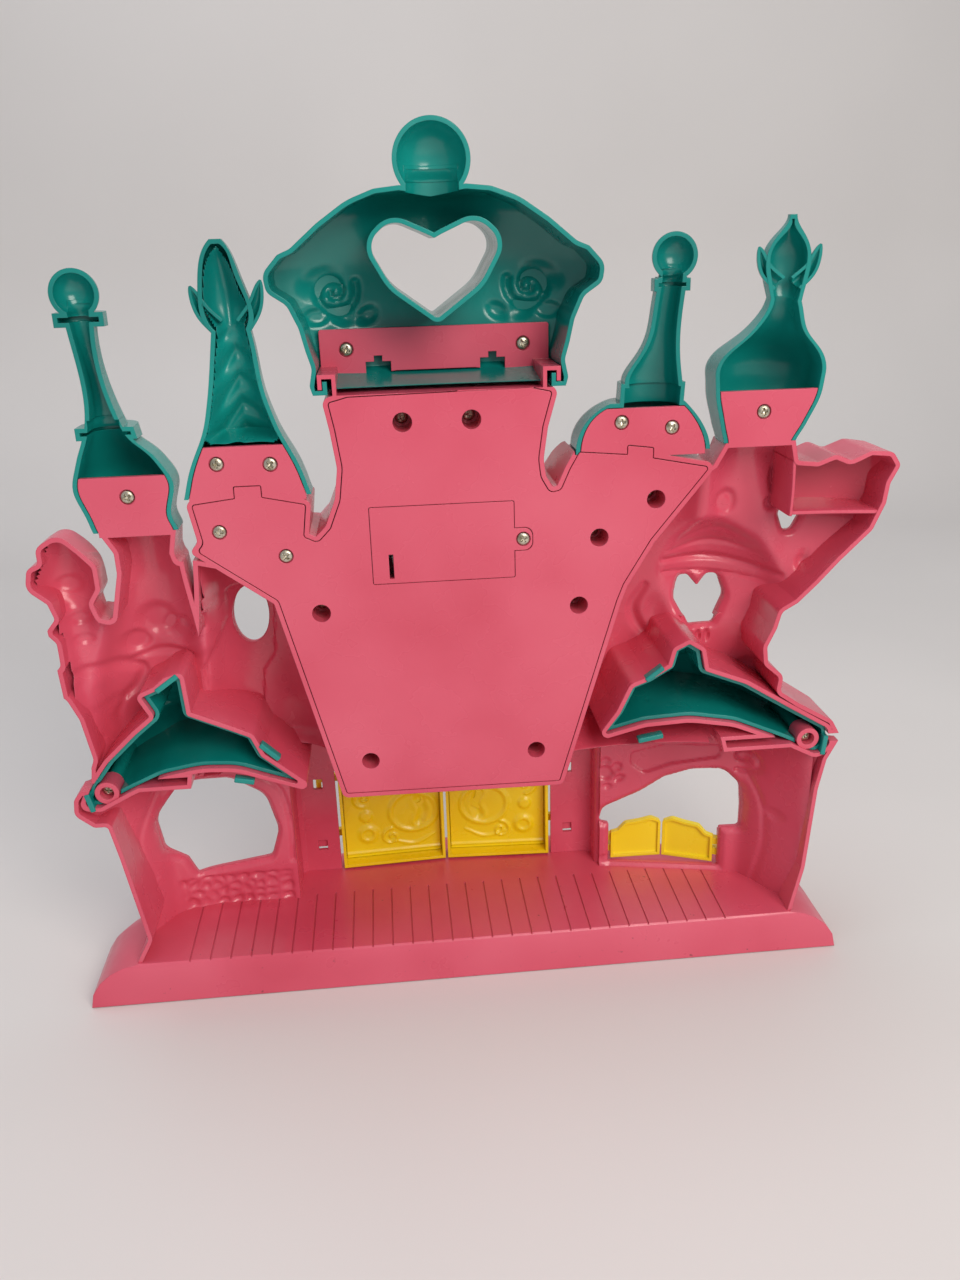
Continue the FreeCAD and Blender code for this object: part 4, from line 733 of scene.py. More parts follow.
class MeshWork:
    """Makes meshes from whole arrays."""

    @staticmethod
    def make(name: str, points: Array, faces: list, smooth: float | None = 40.0) -> bpy.types.Object:
        """Put points in metres and faces into a new object at the origin.

        Args:
            name: the object's name.
            points: n by 3 array, in metres.
            faces: arrays of faces, each with the same number of corners in a row.
            smooth: greatest angle in degrees that is shaded smooth, or None for flat faces.

        Returns:
            The new object.
        """
        mesh = bpy.data.meshes.new(name)
        mesh.from_pydata(points.tolist(), [], [row for group in faces for row in group.tolist()])
        mesh.update()
        if smooth is not None:
            mesh.shade_smooth()
            mesh.set_sharp_from_angle(angle=math.radians(smooth))
        obj = bpy.data.objects.new(name, mesh)
        bpy.context.scene.collection.objects.link(obj)
        return obj

    @staticmethod
    def sheet(name: str, front: Array, back: Array, smooth: float = 40.0) -> bpy.types.Object:
        """Closed sheet between two grids.

        Args:
            name: the object's name.
            front: n by m grid of x, t and h.
            back: the same grid, one thickness away.
            smooth: greatest angle in degrees that is shaded smooth.

        Returns:
            The new object.
        """
        count = front.shape[0] * front.shape[1]
        index = np.arange(count).reshape(front.shape[:2])
        quads = np.stack([index[:-1, :-1], index[1:, :-1], index[1:, 1:], index[:-1, 1:]], -1).reshape(-1, 4)
        loop = np.concatenate([index[:, 0], index[-1, 1:], index[-2::-1, -1], index[0, -2:0:-1]])
        after = np.roll(loop, -1)
        side = np.stack([after, loop, loop + count, after + count], -1)
        points = np.concatenate([front.reshape(-1, 3), back.reshape(-1, 3)])
        metres = MeshWork.drawn(points[:, 0], points[:, 1], points[:, 2])
        return MeshWork.turned_out(MeshWork.make(name, metres, [quads, quads[:, ::-1] + count, side], smooth))

    @staticmethod
    def turned_out(obj: bpy.types.Object) -> bpy.types.Object:
        """Turn the faces of a closed mesh outwards."""
        work = bmesh.new()
        work.from_mesh(obj.data)
        bmesh.ops.recalc_face_normals(work, faces=work.faces)
        work.to_mesh(obj.data)
        work.free()
        return obj

    @staticmethod
    def drawn(x: Array, t: Array, h: Array) -> Array:
        """Drawing measures to metres in the part's own frame: x, the rim plane plus t, the floor plus h."""
        return np.stack([x, RIM_Y + t, FLOOR_H + h], -1) * MM


def place_piece(obj: bpy.types.Object, body: str, slot: Slot, material: bpy.types.Material,
                *nodes: str) -> bpy.types.Object:
    """Give a piece its material and its body, and hide the nodes that it stands for.

    Args:
        obj: the piece.
        body: body that it rides on.
        slot: the record's material slot; not used.
        material: its node material.
        nodes: CAD nodes that it replaces.

    Returns:
        The same piece.
    """
    obj.data.materials.clear()
    obj.data.materials.append(material)
    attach(obj, body)
    if nodes:
        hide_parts(*nodes)
    LOG.info("%s on %s: %d faces", obj.name, body, len(obj.data.polygons))
    return obj


@dataclass
class Skin:
    """Moulded face with ornaments over the half-round forms of a shell.

    Its depth is the forms' own depth, less a small proud distance and the ornaments' height. Its edge is
    pulled onto the region's own outlines, and a short skirt closes it against the shell.
    """

    name: str
    forms: tuple
    edge: Outline
    margin: float
    ornaments: tuple = ()
    holes: tuple[tuple[Outline, float], ...] = ()
    windows: tuple[Outline, ...] = ()
    low: float = -100.0
    high: float = 500.0
    wall: float = 2.0
    base: float = 0.3
    relief: float = 2.2
    cell: float = 0.9
    skirt: float = 3.0
    window_gap: float = 0.2
    window_fade: float = 2.5
    nearest: float = 0.75
    soften: int = 2
    least: float = 6.0

    def region(self, points: Array) -> tuple[Array, Array, Array]:
        """Where points lie against the region.

        Args:
            points: n by 2 array of x and h.

        Returns:
            Distance outside the region, its direction, and the distance to the nearest window.
        """
        value, way = signed_distance(rounded(self.edge), points)
        value = value + self.margin
        near_window = np.full(len(points), 99.0)
        for outline, grow in self.holes + tuple((w, 0.25) for w in self.windows):
            other, other_way = signed_distance(rounded(outline), points)
            if outline in self.windows:
                near_window = np.minimum(near_window, other)
            other = grow - other
            worse = other > value
            value = np.where(worse, other, value)
            way = np.where(worse[:, None], -other_way, way)
        return value, way, near_window

    def build(self) -> bpy.types.Object:
        """Make the mesh."""
        shape = rounded(self.edge)
        x0, h0 = shape.min(0) - self.cell
        x1, h1 = shape.max(0) + self.cell
        h0, h1 = max(h0, self.low), min(h1, self.high)
        xs = np.arange(x0, x1 + self.cell, self.cell)
        hs = np.arange(h0, h1 + self.cell, self.cell)
        gx, gh = np.meshgrid(xs, hs, indexing="ij")
        t = np.maximum.reduce([form.depth(gx, gh, self.wall) for form in self.forms])
        t = blurred(spread(t, self.soften), self.soften)
        points = np.stack([gx.ravel(), gh.ravel()], 1)
        value, way, near_window = self.region(points)
        close = np.abs(value) < self.nearest * self.cell
        points = np.where(close[:, None], points - way * value[:, None], points)
        value = np.where(close, 0.0, value)
        height = sum((o.height(points) for o in self.ornaments), np.zeros(len(points)))
        fade = soft_step((near_window - self.window_gap) / self.window_fade)
        depth = t.ravel() - self.base - (self.relief - height) * fade
        keep = (value <= 1e-6) & (t.ravel() > self.least)
        index = np.arange(gx.size).reshape(gx.shape)
        quads = np.stack([index[:-1, :-1], index[1:, :-1], index[1:, 1:], index[:-1, 1:]], -1).reshape(-1, 4)
        quads = quads[keep[quads].all(1)]
        used, flat = np.unique(quads, return_inverse=True)
        quads = flat.reshape(-1, 4)
        x, h, depth = points[used, 0], points[used, 1], depth[used]
        x, depth, h, rim = self.closed(x, depth, h, quads)
        return MeshWork.make(self.name, MeshWork.drawn(x, depth, h), [quads, rim], 50.0)

    def closed(self, x: Array, t: Array, h: Array, quads: Array) -> tuple[Array, Array, Array, Array]:
        """Skirt along every open edge, towards the shell.

        Args:
            x: points' x.
            t: points' depth.
            h: points' height.
            quads: faces of the skin.

        Returns:
            The three columns with the skirt's points, and the skirt's faces.
        """
        edges = np.concatenate([quads[:, [k, (k + 1) % 4]] for k in range(4)])
        key = np.sort(edges, 1)
        _, first, count = np.unique(key, axis=0, return_index=True, return_counts=True)
        rim = edges[first[count == 1]]
        ends, flat = np.unique(rim, return_inverse=True)
        flat = flat.reshape(-1, 2) + len(x)
        x = np.concatenate([x, x[ends]])
        h = np.concatenate([h, h[ends]])
        t = np.concatenate([t, t[ends] + self.skirt])
        return x, t, h, np.stack([rim[:, 1], rim[:, 0], flat[:, 0], flat[:, 1]], 1)


def main() -> None:
    """Build the castle's looks, its stage, light and camera."""
    logging.basicConfig(level=logging.INFO, format="%(message)s")
    palette = Palette()
    Mouldings(palette).build()
    Reliefs(palette).build()
    Trims(palette).build()
    Screws(palette).build()
    Studio().build()
    bpy.context.view_layer.update()


@dataclass
class Mouldings:
    """The frame's own nodes: welded, shaded smooth and given their finish."""

    palette: Palette
    smooth_deg: float = 34.0
    weld_mm: float = 0.002
    kept: tuple[str, ...] = ("batteries", "battery_contacts", "circuit_board", "speaker")
    made_anew: tuple[str, ...] = ("cover_screws", "teal_screws", "battery_door_screw")

    def welded(self, node: str) -> bpy.types.Object:
        """Copy of a node with its loose triangles joined at their corners."""
        mesh = frame["nodes"][node].data
        points = np.empty(len(mesh.vertices) * 3, np.float32)
        mesh.vertices.foreach_get("co", points)
        points = points.reshape(-1, 3).astype(float)
        corners = np.empty(len(mesh.loops), np.int32)
        mesh.loops.foreach_get("vertex_index", corners)
        cell = self.weld_mm * MM
        _, first, flat = np.unique(np.round(points / cell), axis=0, return_index=True, return_inverse=True)
        faces = flat.reshape(-1)[corners].reshape(-1, 3)
        real = (faces[:, 0] != faces[:, 1]) & (faces[:, 1] != faces[:, 2]) & (faces[:, 0] != faces[:, 2])
        return MeshWork.make(node + "_moulding", points[first], [faces[real]], self.smooth_deg)

    def build(self) -> None:
        """Dress every node."""
        slots = {row["node"]: Slot(row["material_slot"]) for row in frame["record"]["subparts"]}
        for body, node in ((o["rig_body"], n) for n, o in frame["nodes"].items()):
            if node in self.made_anew:
                continue
            slot = slots[node]
            material = self.palette.by_slot[slot]
            if node == "base_stand":
                material = self.palette.floor
            if node in self.kept:
                data = frame["nodes"][node].data
                data.materials.clear()
                data.materials.append(material)
                continue
            place_piece(self.welded(node), body, slot, material, node)


PANEL_OUTLINE: Outline = (
    (-107, 181, 3), (-88, 181, 3), (-86, 165, 3), (-88, 141, 2), (-94, 133, 2), (-96, 108, 2),
    (-112, 113, 8), (-121, 129, 8), (-121.5, 142, 4), (-113, 156, 3), (-108, 166, 4))
BELL_OUTLINE: Outline = (
    (116, 126, 2), (124, 126, 2), (128, 114, 8), (136, 106, 3), (104, 107, 3), (112, 114, 8))
CLOUD_OUTLINE: Outline = (
    (91, 64, 3), (92, 71, 3), (108, 76, 6), (138, 77, 3), (139, 69, 4), (113, 64, 6), (99, 58, 4))


COVER_HOLE = (COVER, 1.4)
LEFT_ROOF_HOLE = (ROOF_LEFT, 1.0)
RIGHT_ROOF_HOLE = (ROOF_RIGHT, 1.0)
RIGHT_OF_LEFT_ROOM: Outline = ((-88.2, -30, 0), (60, -30, 0), (60, 120, 0), (-88.2, 120, 0))
LEFT_OF_RIGHT_ROOM: Outline = ((-60, -30, 0), (76.2, -30, 0), (76.2, 120, 0), (-60, 120, 0))


@dataclass
class Reliefs:
    """Cast faces inside the mouldings. Each is a skin over its forms, a gap inside its outline."""

    palette: Palette
    wing_gap: float = 0.9
    roof_gap: float = 1.2
    spire_gap: float = 1.0
    upper_low: float = 97.0
    ground_low: float = -0.4
    ground_high: float = 93.0

    def left_upper(self) -> Skin:
        """Left towers: bubbles, cloud, ledge, swirl and the oval window's panel."""
        ornaments = (
            Dome(-149.5, 158, 8, 7, 2.4), Dome(-138.5, 168, 11, 10, 2.6), Dome(-129, 163, 9, 9, 2.0),
            Ridge(((-152, 149), (-140, 151.5), (-124, 150)), 3.2, 1.6, 0.4),
            Ridge(((-180, 149), (-171, 151), (-160, 149), (-149, 142), (-153, 135), (-158, 131)),
                  4.5, 2.4, 0.3),
            Ridge(((-158, 131), (-162, 122), (-160, 112)), 2.6, 1.4, 0.5),
            Dome(-166, 139, 12, 9, -1.2), Dome(-120, 156, 9, 8, -1.6, edge=0.8),
            Dome(-122, 167, 8, 5, 1.4), Plateau(PANEL_OUTLINE, 2.2, 1.0),
            Ridge(((-122, 186), (-113, 183), (-108, 178)), 3.0, 1.2, 0.5),
            Dome(-171, 191, 8, 5, 1.4), Dome(-168, 176, 7, 3.5, 1.2), Dome(-168, 166, 6, 3, 1.0),
            Ridge(((-152, 176), (-147, 196), (-148, 212)), 2.2, 1.0, 0.4),
            Dome(-137, 200, 9, 14, 0.8, edge=0.9))
        forms = (FAR_LEFT_TOWER, SMALL_TURRET, SMALL_TURRET_TOP, LEFT_TOWER)
        return Skin("left_upper_relief", forms, LEFT_WING, self.wing_gap, ornaments,
                    (COVER_HOLE, LEFT_ROOF_HOLE), (OVAL_WINDOW,), low=self.upper_low)

    def left_ground(self) -> Skin:
        """Left room's street wall: rubble below the window and the frame beside it."""
        ornaments = (
            Stones((-150, -2), (-90, 19), 7.0, 2.6, 5), Ridge(((-158, 28), (-162, 52), (-152, 78)), 2.0, 1.3),
            Ridge(((-110, 79), (-94, 67), (-89.5, 46), (-90, 24)), 2.4, 1.6, 0.2))
        return Skin("left_ground_relief", (LEFT_GROUND,), LEFT_WING, self.wing_gap, ornaments,
                    ((RIGHT_OF_LEFT_ROOM, 0.0), COVER_HOLE, LEFT_ROOF_HOLE), (LEFT_WINDOW,),
                    low=self.ground_low, high=self.ground_high)

    def right_upper(self) -> Skin:
        """Right towers: shell arch, canopy lips, crescent, beads of the corbel and the window's balusters."""
        ornaments = (
            Dome(127.2, 211.5, 6.6, 7.6, 2.4), Dome(127.2, 210, 4.2, 5.2, -1.0),
            Ridge(((103, 180), (128, 179.5), (156, 174)), 3.0, 2.4, 0.2),
            Ridge(((103, 173.5), (129, 171.5), (152, 169)), 1.6, 1.2, 0.2),
            Ridge(((95, 167), (89.5, 154), (97, 140), (106, 135.5)), 4.2, 2.4, 0.5),
            Dome(101, 153, 7, 12, 1.2, edge=0.8),
            Beads(((166, 185), (163, 170), (156, 162), (151, 153), (149, 145), (147, 136)),
                  4.6, 2.6, count=6),
            Dome(146.5, 121, 9, 10, 2.0), Dome(148.5, 210, 4.2, 4.2, 2.4), Dome(149, 221, 3.0, 8, 1.8),
            Dome(116, 141, 1.7, 4.2, 1.8), Dome(120.5, 141, 1.7, 4.2, 1.8), Dome(125, 141, 1.7, 4.2, 1.8),
            Ridge(((110, 191), (127, 197), (144, 190)), 2.4, 1.0, 0.6),
            Ridge(((104, 185), (127, 189), (150, 183)), 2.4, 1.0, 0.6))
        forms = (RIGHT_TOWER, FAR_RIGHT_TOWER, BALCONY, CORBEL, CANOPY)
        return Skin("right_upper_relief", forms, RIGHT_WING, self.wing_gap, ornaments,
                    (COVER_HOLE, RIGHT_ROOF_HOLE), (APPLE_WINDOW, DROP_WINDOW), low=self.upper_low)

    def right_ground(self) -> Skin:
        """Right room's street wall: cloud plate, flower and vine round the archway."""
        ornaments = (
            Plateau(CLOUD_OUTLINE, 2.0, 1.0), Dome(79, 58, 5.5, 5.5, 2.2), Dome(85, 62, 3.2, 3.2, 1.6),
            Dome(86, 55, 4, 2.4, 1.8, 30), Dome(79, 65, 3, 3, 1.4), Dome(80, 50, 3, 2.2, 1.4),
            Curl(149, 70, 8, 1.2, 2.0, 2.0, 250, -1), Dome(161, 45.5, 4.2, 4.2, 2.0),
            Ridge(((151, 62), (155.5, 52), (158, 30), (155, 0)), 1.8, 1.5),
            Dome(79, 4, 4, 4, 1.4), Ridge(((96, 84), (118, 88), (146, 82)), 3.0, 1.2, 0.5))
        return Skin("right_ground_relief", (RIGHT_GROUND,), RIGHT_WING, self.wing_gap, ornaments,
                    ((LEFT_OF_RIGHT_ROOM, 0.0), COVER_HOLE, RIGHT_ROOF_HOLE), (RIGHT_WINDOW,),
                    low=self.ground_low, high=self.ground_high)

    def crown(self) -> Skin:
        """Crown: a scroll among lumps to each side of the heart."""
        half = (
            Dome(-52, 313, 12, 8, 2.6, 20, 0.8), Curl(-47, 309, 10, 1.5, 3.0, 2.6, 20, 1),
            Dome(-44, 300, 9, 6, 2.4, -30, 0.8), Dome(-33, 299, 7, 5, 2.2, 30, 0.8),
            Dome(-55, 299, 7, 4.5, 1.8))
        return Skin("crown_scrolls", (CROWN_FORM,), self.crown_edge(), self.wing_gap,
                    half + tuple(self.mirrored(o) for o in half), ((HEART, 1.0),), low=272.0,
                    wall=TEAL_WALL)

    def roof_left(self) -> Skin:
        """Left roof: a lobe over a ridge."""
        ornaments = (
            Dome(-133, 104, 19, 14, 2.4, -8, 0.45),
            Ridge(((-172, 82), (-158, 86), (-145, 91), (-128, 89), (-106, 91), (-92, 88)), 1.8, 1.3),
            Dome(-141, 118, 10, 4, 1.2), Dome(-110, 104, 12, 6, 1.0, -30, 0.8))
        return Skin("roof_left_relief", (ROOF_FORM_LEFT,), ROOF_LEFT, self.roof_gap, ornaments,
                    wall=TEAL_WALL)

    def roof_right(self) -> Skin:
        """Right roof: a bell over a band."""
        ornaments = (
            Plateau(BELL_OUTLINE, 2.0, 2.4),
            Ridge(((84, 98), (100, 102.5), (110, 101), (126, 100), (140, 96), (150, 90)), 2.6, 1.8),
            Dome(150, 100, 14, 5, 0.9, -25, 0.8))
        return Skin("roof_right_relief", (ROOF_FORM_RIGHT,), ROOF_RIGHT, self.roof_gap, ornaments,
                    wall=TEAL_WALL)

    def spire_left(self) -> Skin:
        """Left spire: twisted ribs in the cone and a vein in the bud."""
        ornaments = (Ribs(246, 299, 11.0, 0.9, 2.0, -87.5),
                     Ridge(((-88, 300), (-88.5, 315), (-90, 330)), 3.0, 1.2, 0.5))
        return Skin("spire_left_ribs", SPIRE_LEFT_FORMS, self.spire_edge(), self.spire_gap, ornaments,
                    low=252.0, high=330.0, wall=TEAL_WALL, cell=0.6, least=2.0)

    @staticmethod
    def mirrored(ornament: Dome | Curl) -> Dome | Curl:
        """The same ornament on the other side of the crown's middle."""
        x = 2 * CENTRE_X - ornament.x
        if isinstance(ornament, Curl):
            return replace(ornament, x=x, start=180 - ornament.start, sense=-ornament.sense)
        return replace(ornament, x=x, turn=-ornament.turn)

    @staticmethod
    def spire_edge() -> Outline:
        """Outline of the left spire in the rim plane, from its rows."""
        rows = SPIRE_LEFT_FORMS[0].rows[:-1] + SPIRE_LEFT_FORMS[1].rows
        left = tuple((row[1], row[0], 0) for row in rows)
        return left + tuple((row[2], row[0], 0) for row in rows[::-1])

    @staticmethod
    def crown_edge() -> Outline:
        """Crown's outline up to the ball's neck, from its right half."""
        right = [(CENTRE_X + x, h, r) for x, h, r in CROWN_HALF]
        left = [(CENTRE_X - x, h, r) for x, h, r in CROWN_HALF[1:]]
        foot = [(CENTRE_X + 52, 262, 0), (CENTRE_X - 52, 262, 0)]
        return tuple(right + foot + left[::-1])

    def build(self) -> None:
        """Make and place the skins."""
        pink = (self.left_upper(), self.left_ground(), self.right_upper(), self.right_ground())
        teal = (self.crown(), self.roof_left(), self.roof_right(), self.spire_left())
        for slot, skins in ((Slot.PINK, pink), (Slot.TEAL, teal)):
            for skin in skins:
                place_piece(skin.build(), "castle", slot, self.palette.by_slot[slot])


@dataclass
class Trims:
    """Forms moulded onto the pieces: ball necks, leaf tips, balcony, roof clips and door faces."""

    palette: Palette
    neck_run: tuple[float, float] = (-1.5, 4.5)
    neck_overlap: float = 0.5
    neck_proud: float = 0.12
    neck_wall: float = 1.5
    leaf_wall: float = 1.3
    leaf_t: float = 0.15
    bar_edge: float = 0.45
    bar_square: float = 0.35
    clip_thick: float = 2.6
    clip_t: tuple[float, float] = (-0.7, 4.0)
    door_mid: float = -7.5
    door_w: float = 57.0
    door_axis_t: float = 77.0
    pin_out: float = 10.5
    ajar: float = 3.0
    flange: float = 2.0
    face_t: float = 76.0
    back_t: float = 77.3
    face_h: tuple[float, float] = (3.0, 65.2)

    def placed(self, obj: bpy.types.Object, slot: Slot, body: str = "castle") -> None:
        """Give a trim its finish and body."""
        place_piece(obj, body, slot, self.palette.by_slot[slot])

    def neck(self, name: str, ball: tuple[float, float, float],
             row: tuple[float, float, float, float]) -> None:
        """Wall that leads a neck's hollow into its ball's: a smooth blend of the two depths up the neck.

        Args:
            name: the piece's name.
            ball: centre x, centre h and radius.
            row: the neck's last row: h, left, right and depth.
        """
        x, h, radius = ball
        half = (row[2] - row[1]) / 2 - TEAL_WALL
        deep = row[3] - TEAL_WALL
        nose = min(half, deep * NOSE_SHARE)
        xs = np.linspace(-1, 1, 33) * (half + self.neck_overlap)
        gx, gh = np.meshgrid(xs, row[0] + np.linspace(*self.neck_run, 17), indexing="ij")
        tube = deep - nose + nose * np.sqrt(np.maximum(0, 1 - (gx / half) ** 2))
        cup = np.sqrt(np.maximum(0, (radius - TEAL_WALL) ** 2 - gx ** 2 - (gh - h) ** 2))
        share = soft_step((gh - gh.min()) / (self.neck_run[1] - self.neck_run[0]))
        t = tube * (1 - share) + cup * share - self.neck_proud
        front = np.stack([gx + (row[1] + row[2]) / 2, t, gh], -1)
        self.placed(MeshWork.sheet(name, front, front + [0, self.neck_wall, 0]), Slot.TEAL)

    def leaf(self, name: str, line: tuple[tuple[float, float], ...], half: float, deep: float) -> None:
        """Hollow pointed leaf out of a bud, open to the play side: half ellipses that shrink along a line.

        Args:
            name: the piece's name.
            line: x and h of points from root to tip.
            half: half the width at the root.
            deep: depth at the root.
        """
        path = smooth_path(line, 20)
        across = self.across(path)
        size = half * np.sqrt(np.clip(1 - np.linspace(0, 1, 20) ** 1.7, 0.015, 1))
        a = np.linspace(0, math.pi, 17)

        def shell(less: float) -> Array:
            """Grid of the leaf's face, set in by a wall."""
            w = np.maximum(size - less, 0.05)[:, None]
            xh = path[:, None] + across[:, None] * (w * np.cos(a))[..., None]
            return np.stack([xh[..., 0], self.leaf_t + deep / half * w * np.sin(a), xh[..., 1]], -1)

        self.placed(MeshWork.sheet(name, shell(0.0), shell(self.leaf_wall)), Slot.TEAL)

    @staticmethod
    def across(path: Array) -> Array:
        """Unit directions square to a path, to its left."""
        way = np.gradient(path, axis=0)
        way /= np.linalg.norm(way, axis=1)[:, None]
        return np.stack([-way[:, 1], way[:, 0]], 1)

    def bar(self, name: str, line: tuple[tuple[float, float], ...], thick: float,
            reach: tuple[float, float], slot: Slot) -> None:
        """Rib or clip: a squarish section carried along a line, drawn in on a quarter circle at both ends.

        Args:
            name: the piece's name.
            line: x and h of points along it.
            thick: thickness across the line.
            reach: first and last depth.
            slot: its material slot.
        """
        path = smooth_path(line, 26)
        run = np.concatenate([[0.0], np.cumsum(np.linalg.norm(np.diff(path, axis=0), axis=1))])
        ends = np.array([0.0, 0.15, self.bar_edge])
        at = np.concatenate([ends, np.linspace(1.0, run[-1] - 1.0, 20), run[-1] - ends[::-1]])
        path = np.stack([np.interp(at, run, path[:, k]) for k in (0, 1)], 1)
        way = np.gradient(path, at, axis=0)
        way /= np.linalg.norm(way, axis=1)[:, None]
        across = np.stack([-way[:, 1], way[:, 0]], 1)
        low_t, high_t = reach
        a = np.linspace(0, 2 * math.pi, 32, endpoint=False)
        u, v = (np.sign(f) * np.abs(f) ** self.bar_square for f in (np.cos(a), np.sin(a)))
        edge = self.bar_edge
        inward = edge - np.minimum(np.minimum(at, at[-1] - at), edge)
        loss = edge - np.sqrt(np.maximum(0, edge ** 2 - inward ** 2))
        xh = path[:, None] + across[:, None] * ((thick / 2 - loss)[:, None] * u)[..., None]
        t = (low_t + high_t) / 2 + ((high_t - low_t) / 2 - loss)[:, None] * v
        points = MeshWork.drawn(xh[..., 0], t, xh[..., 1]).reshape(-1, 3)
        index = np.arange(len(points)).reshape(len(at), -1)
        after = np.roll(index, -1, 1)
        quads = np.stack([index[:-1], index[1:], after[1:], after[:-1]], -1).reshape(-1, 4)
        obj = MeshWork.make(name, points, [quads, index[:1, ::-1], index[-1:]], 40.0)
        self.placed(MeshWork.turned_out(obj), slot)

    def door_face(self, side: int, body: str, middle: tuple[float, float], rounds: tuple) -> None:
        """Scrollwork on the inside of a door, turned ajar about the hinge with it.

        Args:
            side: -1 for the left door and 1 for the right one.
            body: the door's body, which also names the piece.
            middle: centre of the medallion.
            rounds: centres of the small and the large round.
        """
        inner = self.door_mid + side
        edge = inner + side * self.door_w
        x0, x1 = sorted((inner + side * self.flange, edge - side * self.flange))
        gx, gh = np.meshgrid(np.linspace(x0, x1, 110), np.linspace(*self.face_h, 126), indexing="ij")
        points = np.stack([gx.ravel(), gh.ravel()], 1)
        (mx, mh), ((sx, sh), (lx, lh)) = middle, rounds
        circle = tuple((mx + 13.0 * math.cos(k * math.pi / 8), mh + 12.0 * math.sin(k * math.pi / 8))
                       for k in range(17))
        bean_x = mx - side * 4.3
        bean = ((bean_x + side * 1.2, mh - 6.5), (bean_x - side * 1.0, mh), (bean_x + side * 1.2, mh + 6.8))
        ornaments = (
            Ridge(circle, 2.4, 1.1), Ridge(bean, 6.6, 1.0), Ridge(bean, 4.0, -2.3),
            Dome(sx, sh, 4.6, 4.6, 1.3), Dome(lx, lh, 7.0, 7.0, 1.5), Dome(lx, lh, 4.0, 4.0, -1.0),
            Curl(lx - side * 13.0, lh - 3.0, 5.5, 1.3, 1.7, 1.0, 90, side),
            Curl(sx + side * 1.0, sh + 12.0, 6.0, 1.3, 1.8, 1.0, 270, -side),
            Ridge(((mx - side * 11, mh - 15.5), (mx, mh - 20.5), (mx + side * 12, mh - 17.5)), 1.9, 1.0, 0.4),
            Ridge(((mx - side * 13, mh + 15.0), (mx, mh + 19.5), (mx + side * 13, mh + 15.0)), 1.9, 1.0, 0.4),
            Ridge(((x0, 5.6), (x1, 5.6)), 1.4, 0.9))
        height = sum(o.height(points) for o in ornaments).reshape(gx.shape)
        turn = math.radians(-side * self.ajar)
        cx = edge + side * self.pin_out

        def turned(t: Array) -> Array:
            """Grid at a depth, turned about the hinge: the usual sum of cosine and sine parts."""
            dx, dt = gx - cx, t - self.door_axis_t
            return np.stack([cx + dx * math.cos(turn) - dt * math.sin(turn),
                             self.door_axis_t + dx * math.sin(turn) + dt * math.cos(turn), gh], -1)

        obj = MeshWork.sheet(body + "_scrollwork", turned(self.face_t - np.clip(height, -1.15, 1.7)),
                             turned(np.full_like(gx, self.back_t)))
        self.placed(obj, Slot.YELLOW, body)

    def build(self) -> None:
        """Make every trim."""
        self.neck("crown_neck", (CENTRE_X, 358, 15.2), (352, CENTRE_X - 12, CENTRE_X + 12, 18))
        self.neck("far_left_neck", (-146, 313, 9.6), (306, -151.5, -139.5, 11))
        self.neck("right_neck", (92.7, 320, 9.4), (312, 86, 98, 11))
        self.leaf("left_bud_leaf_a", ((-92.5, 299), (-97, 304), (-101.5, 314.5)), 3.6, 7.0)
        self.leaf("left_bud_leaf_b", ((-82, 299), (-77.5, 305), (-73.8, 316)), 3.6, 7.0)
        self.leaf("far_right_bud_leaf_a", ((137, 308), (131.5, 313), (127.5, 322.5)), 3.4, 6.5)
        self.leaf("far_right_bud_leaf_b", ((144, 308), (149.5, 313), (153.5, 323)), 3.4, 6.5)
        self.bar("balcony_wall", ((149.5, 209), (149.8, 221), (149.5, 234)), 2.0, (0.3, 27.0), Slot.PINK)
        self.bar("balcony_floor", ((150, 210.5), (170, 210), (191.5, 209)), 2.2, (0.3, 28.0), Slot.PINK)
        clips = (((-132, 147), (5, 3.5)), ((-90, 110), (4, -4)), ((-103, 96), (4.5, -1)),
                 ((-174, 90), (-1, 4.5)), ((90, 137), (4, 3)), ((89, 104), (6, 1)), ((175, 94), (0.5, 5)))
        for i, ((x, h), (dx, dh)) in enumerate(clips):
            line = ((x - dx, h - dh), (x, h), (x + dx, h + dh))
            self.bar(f"roof_clip_{i}", line, self.clip_thick, self.clip_t, Slot.TEAL)
        self.door_face(-1, "door_left", (-25, 29.3), ((-51.7, 28.5), (-50.9, 17.1)))
        self.door_face(1, "door_right", (14.8, 30.8), ((37.6, 30.2), (36.9, 17.0)))


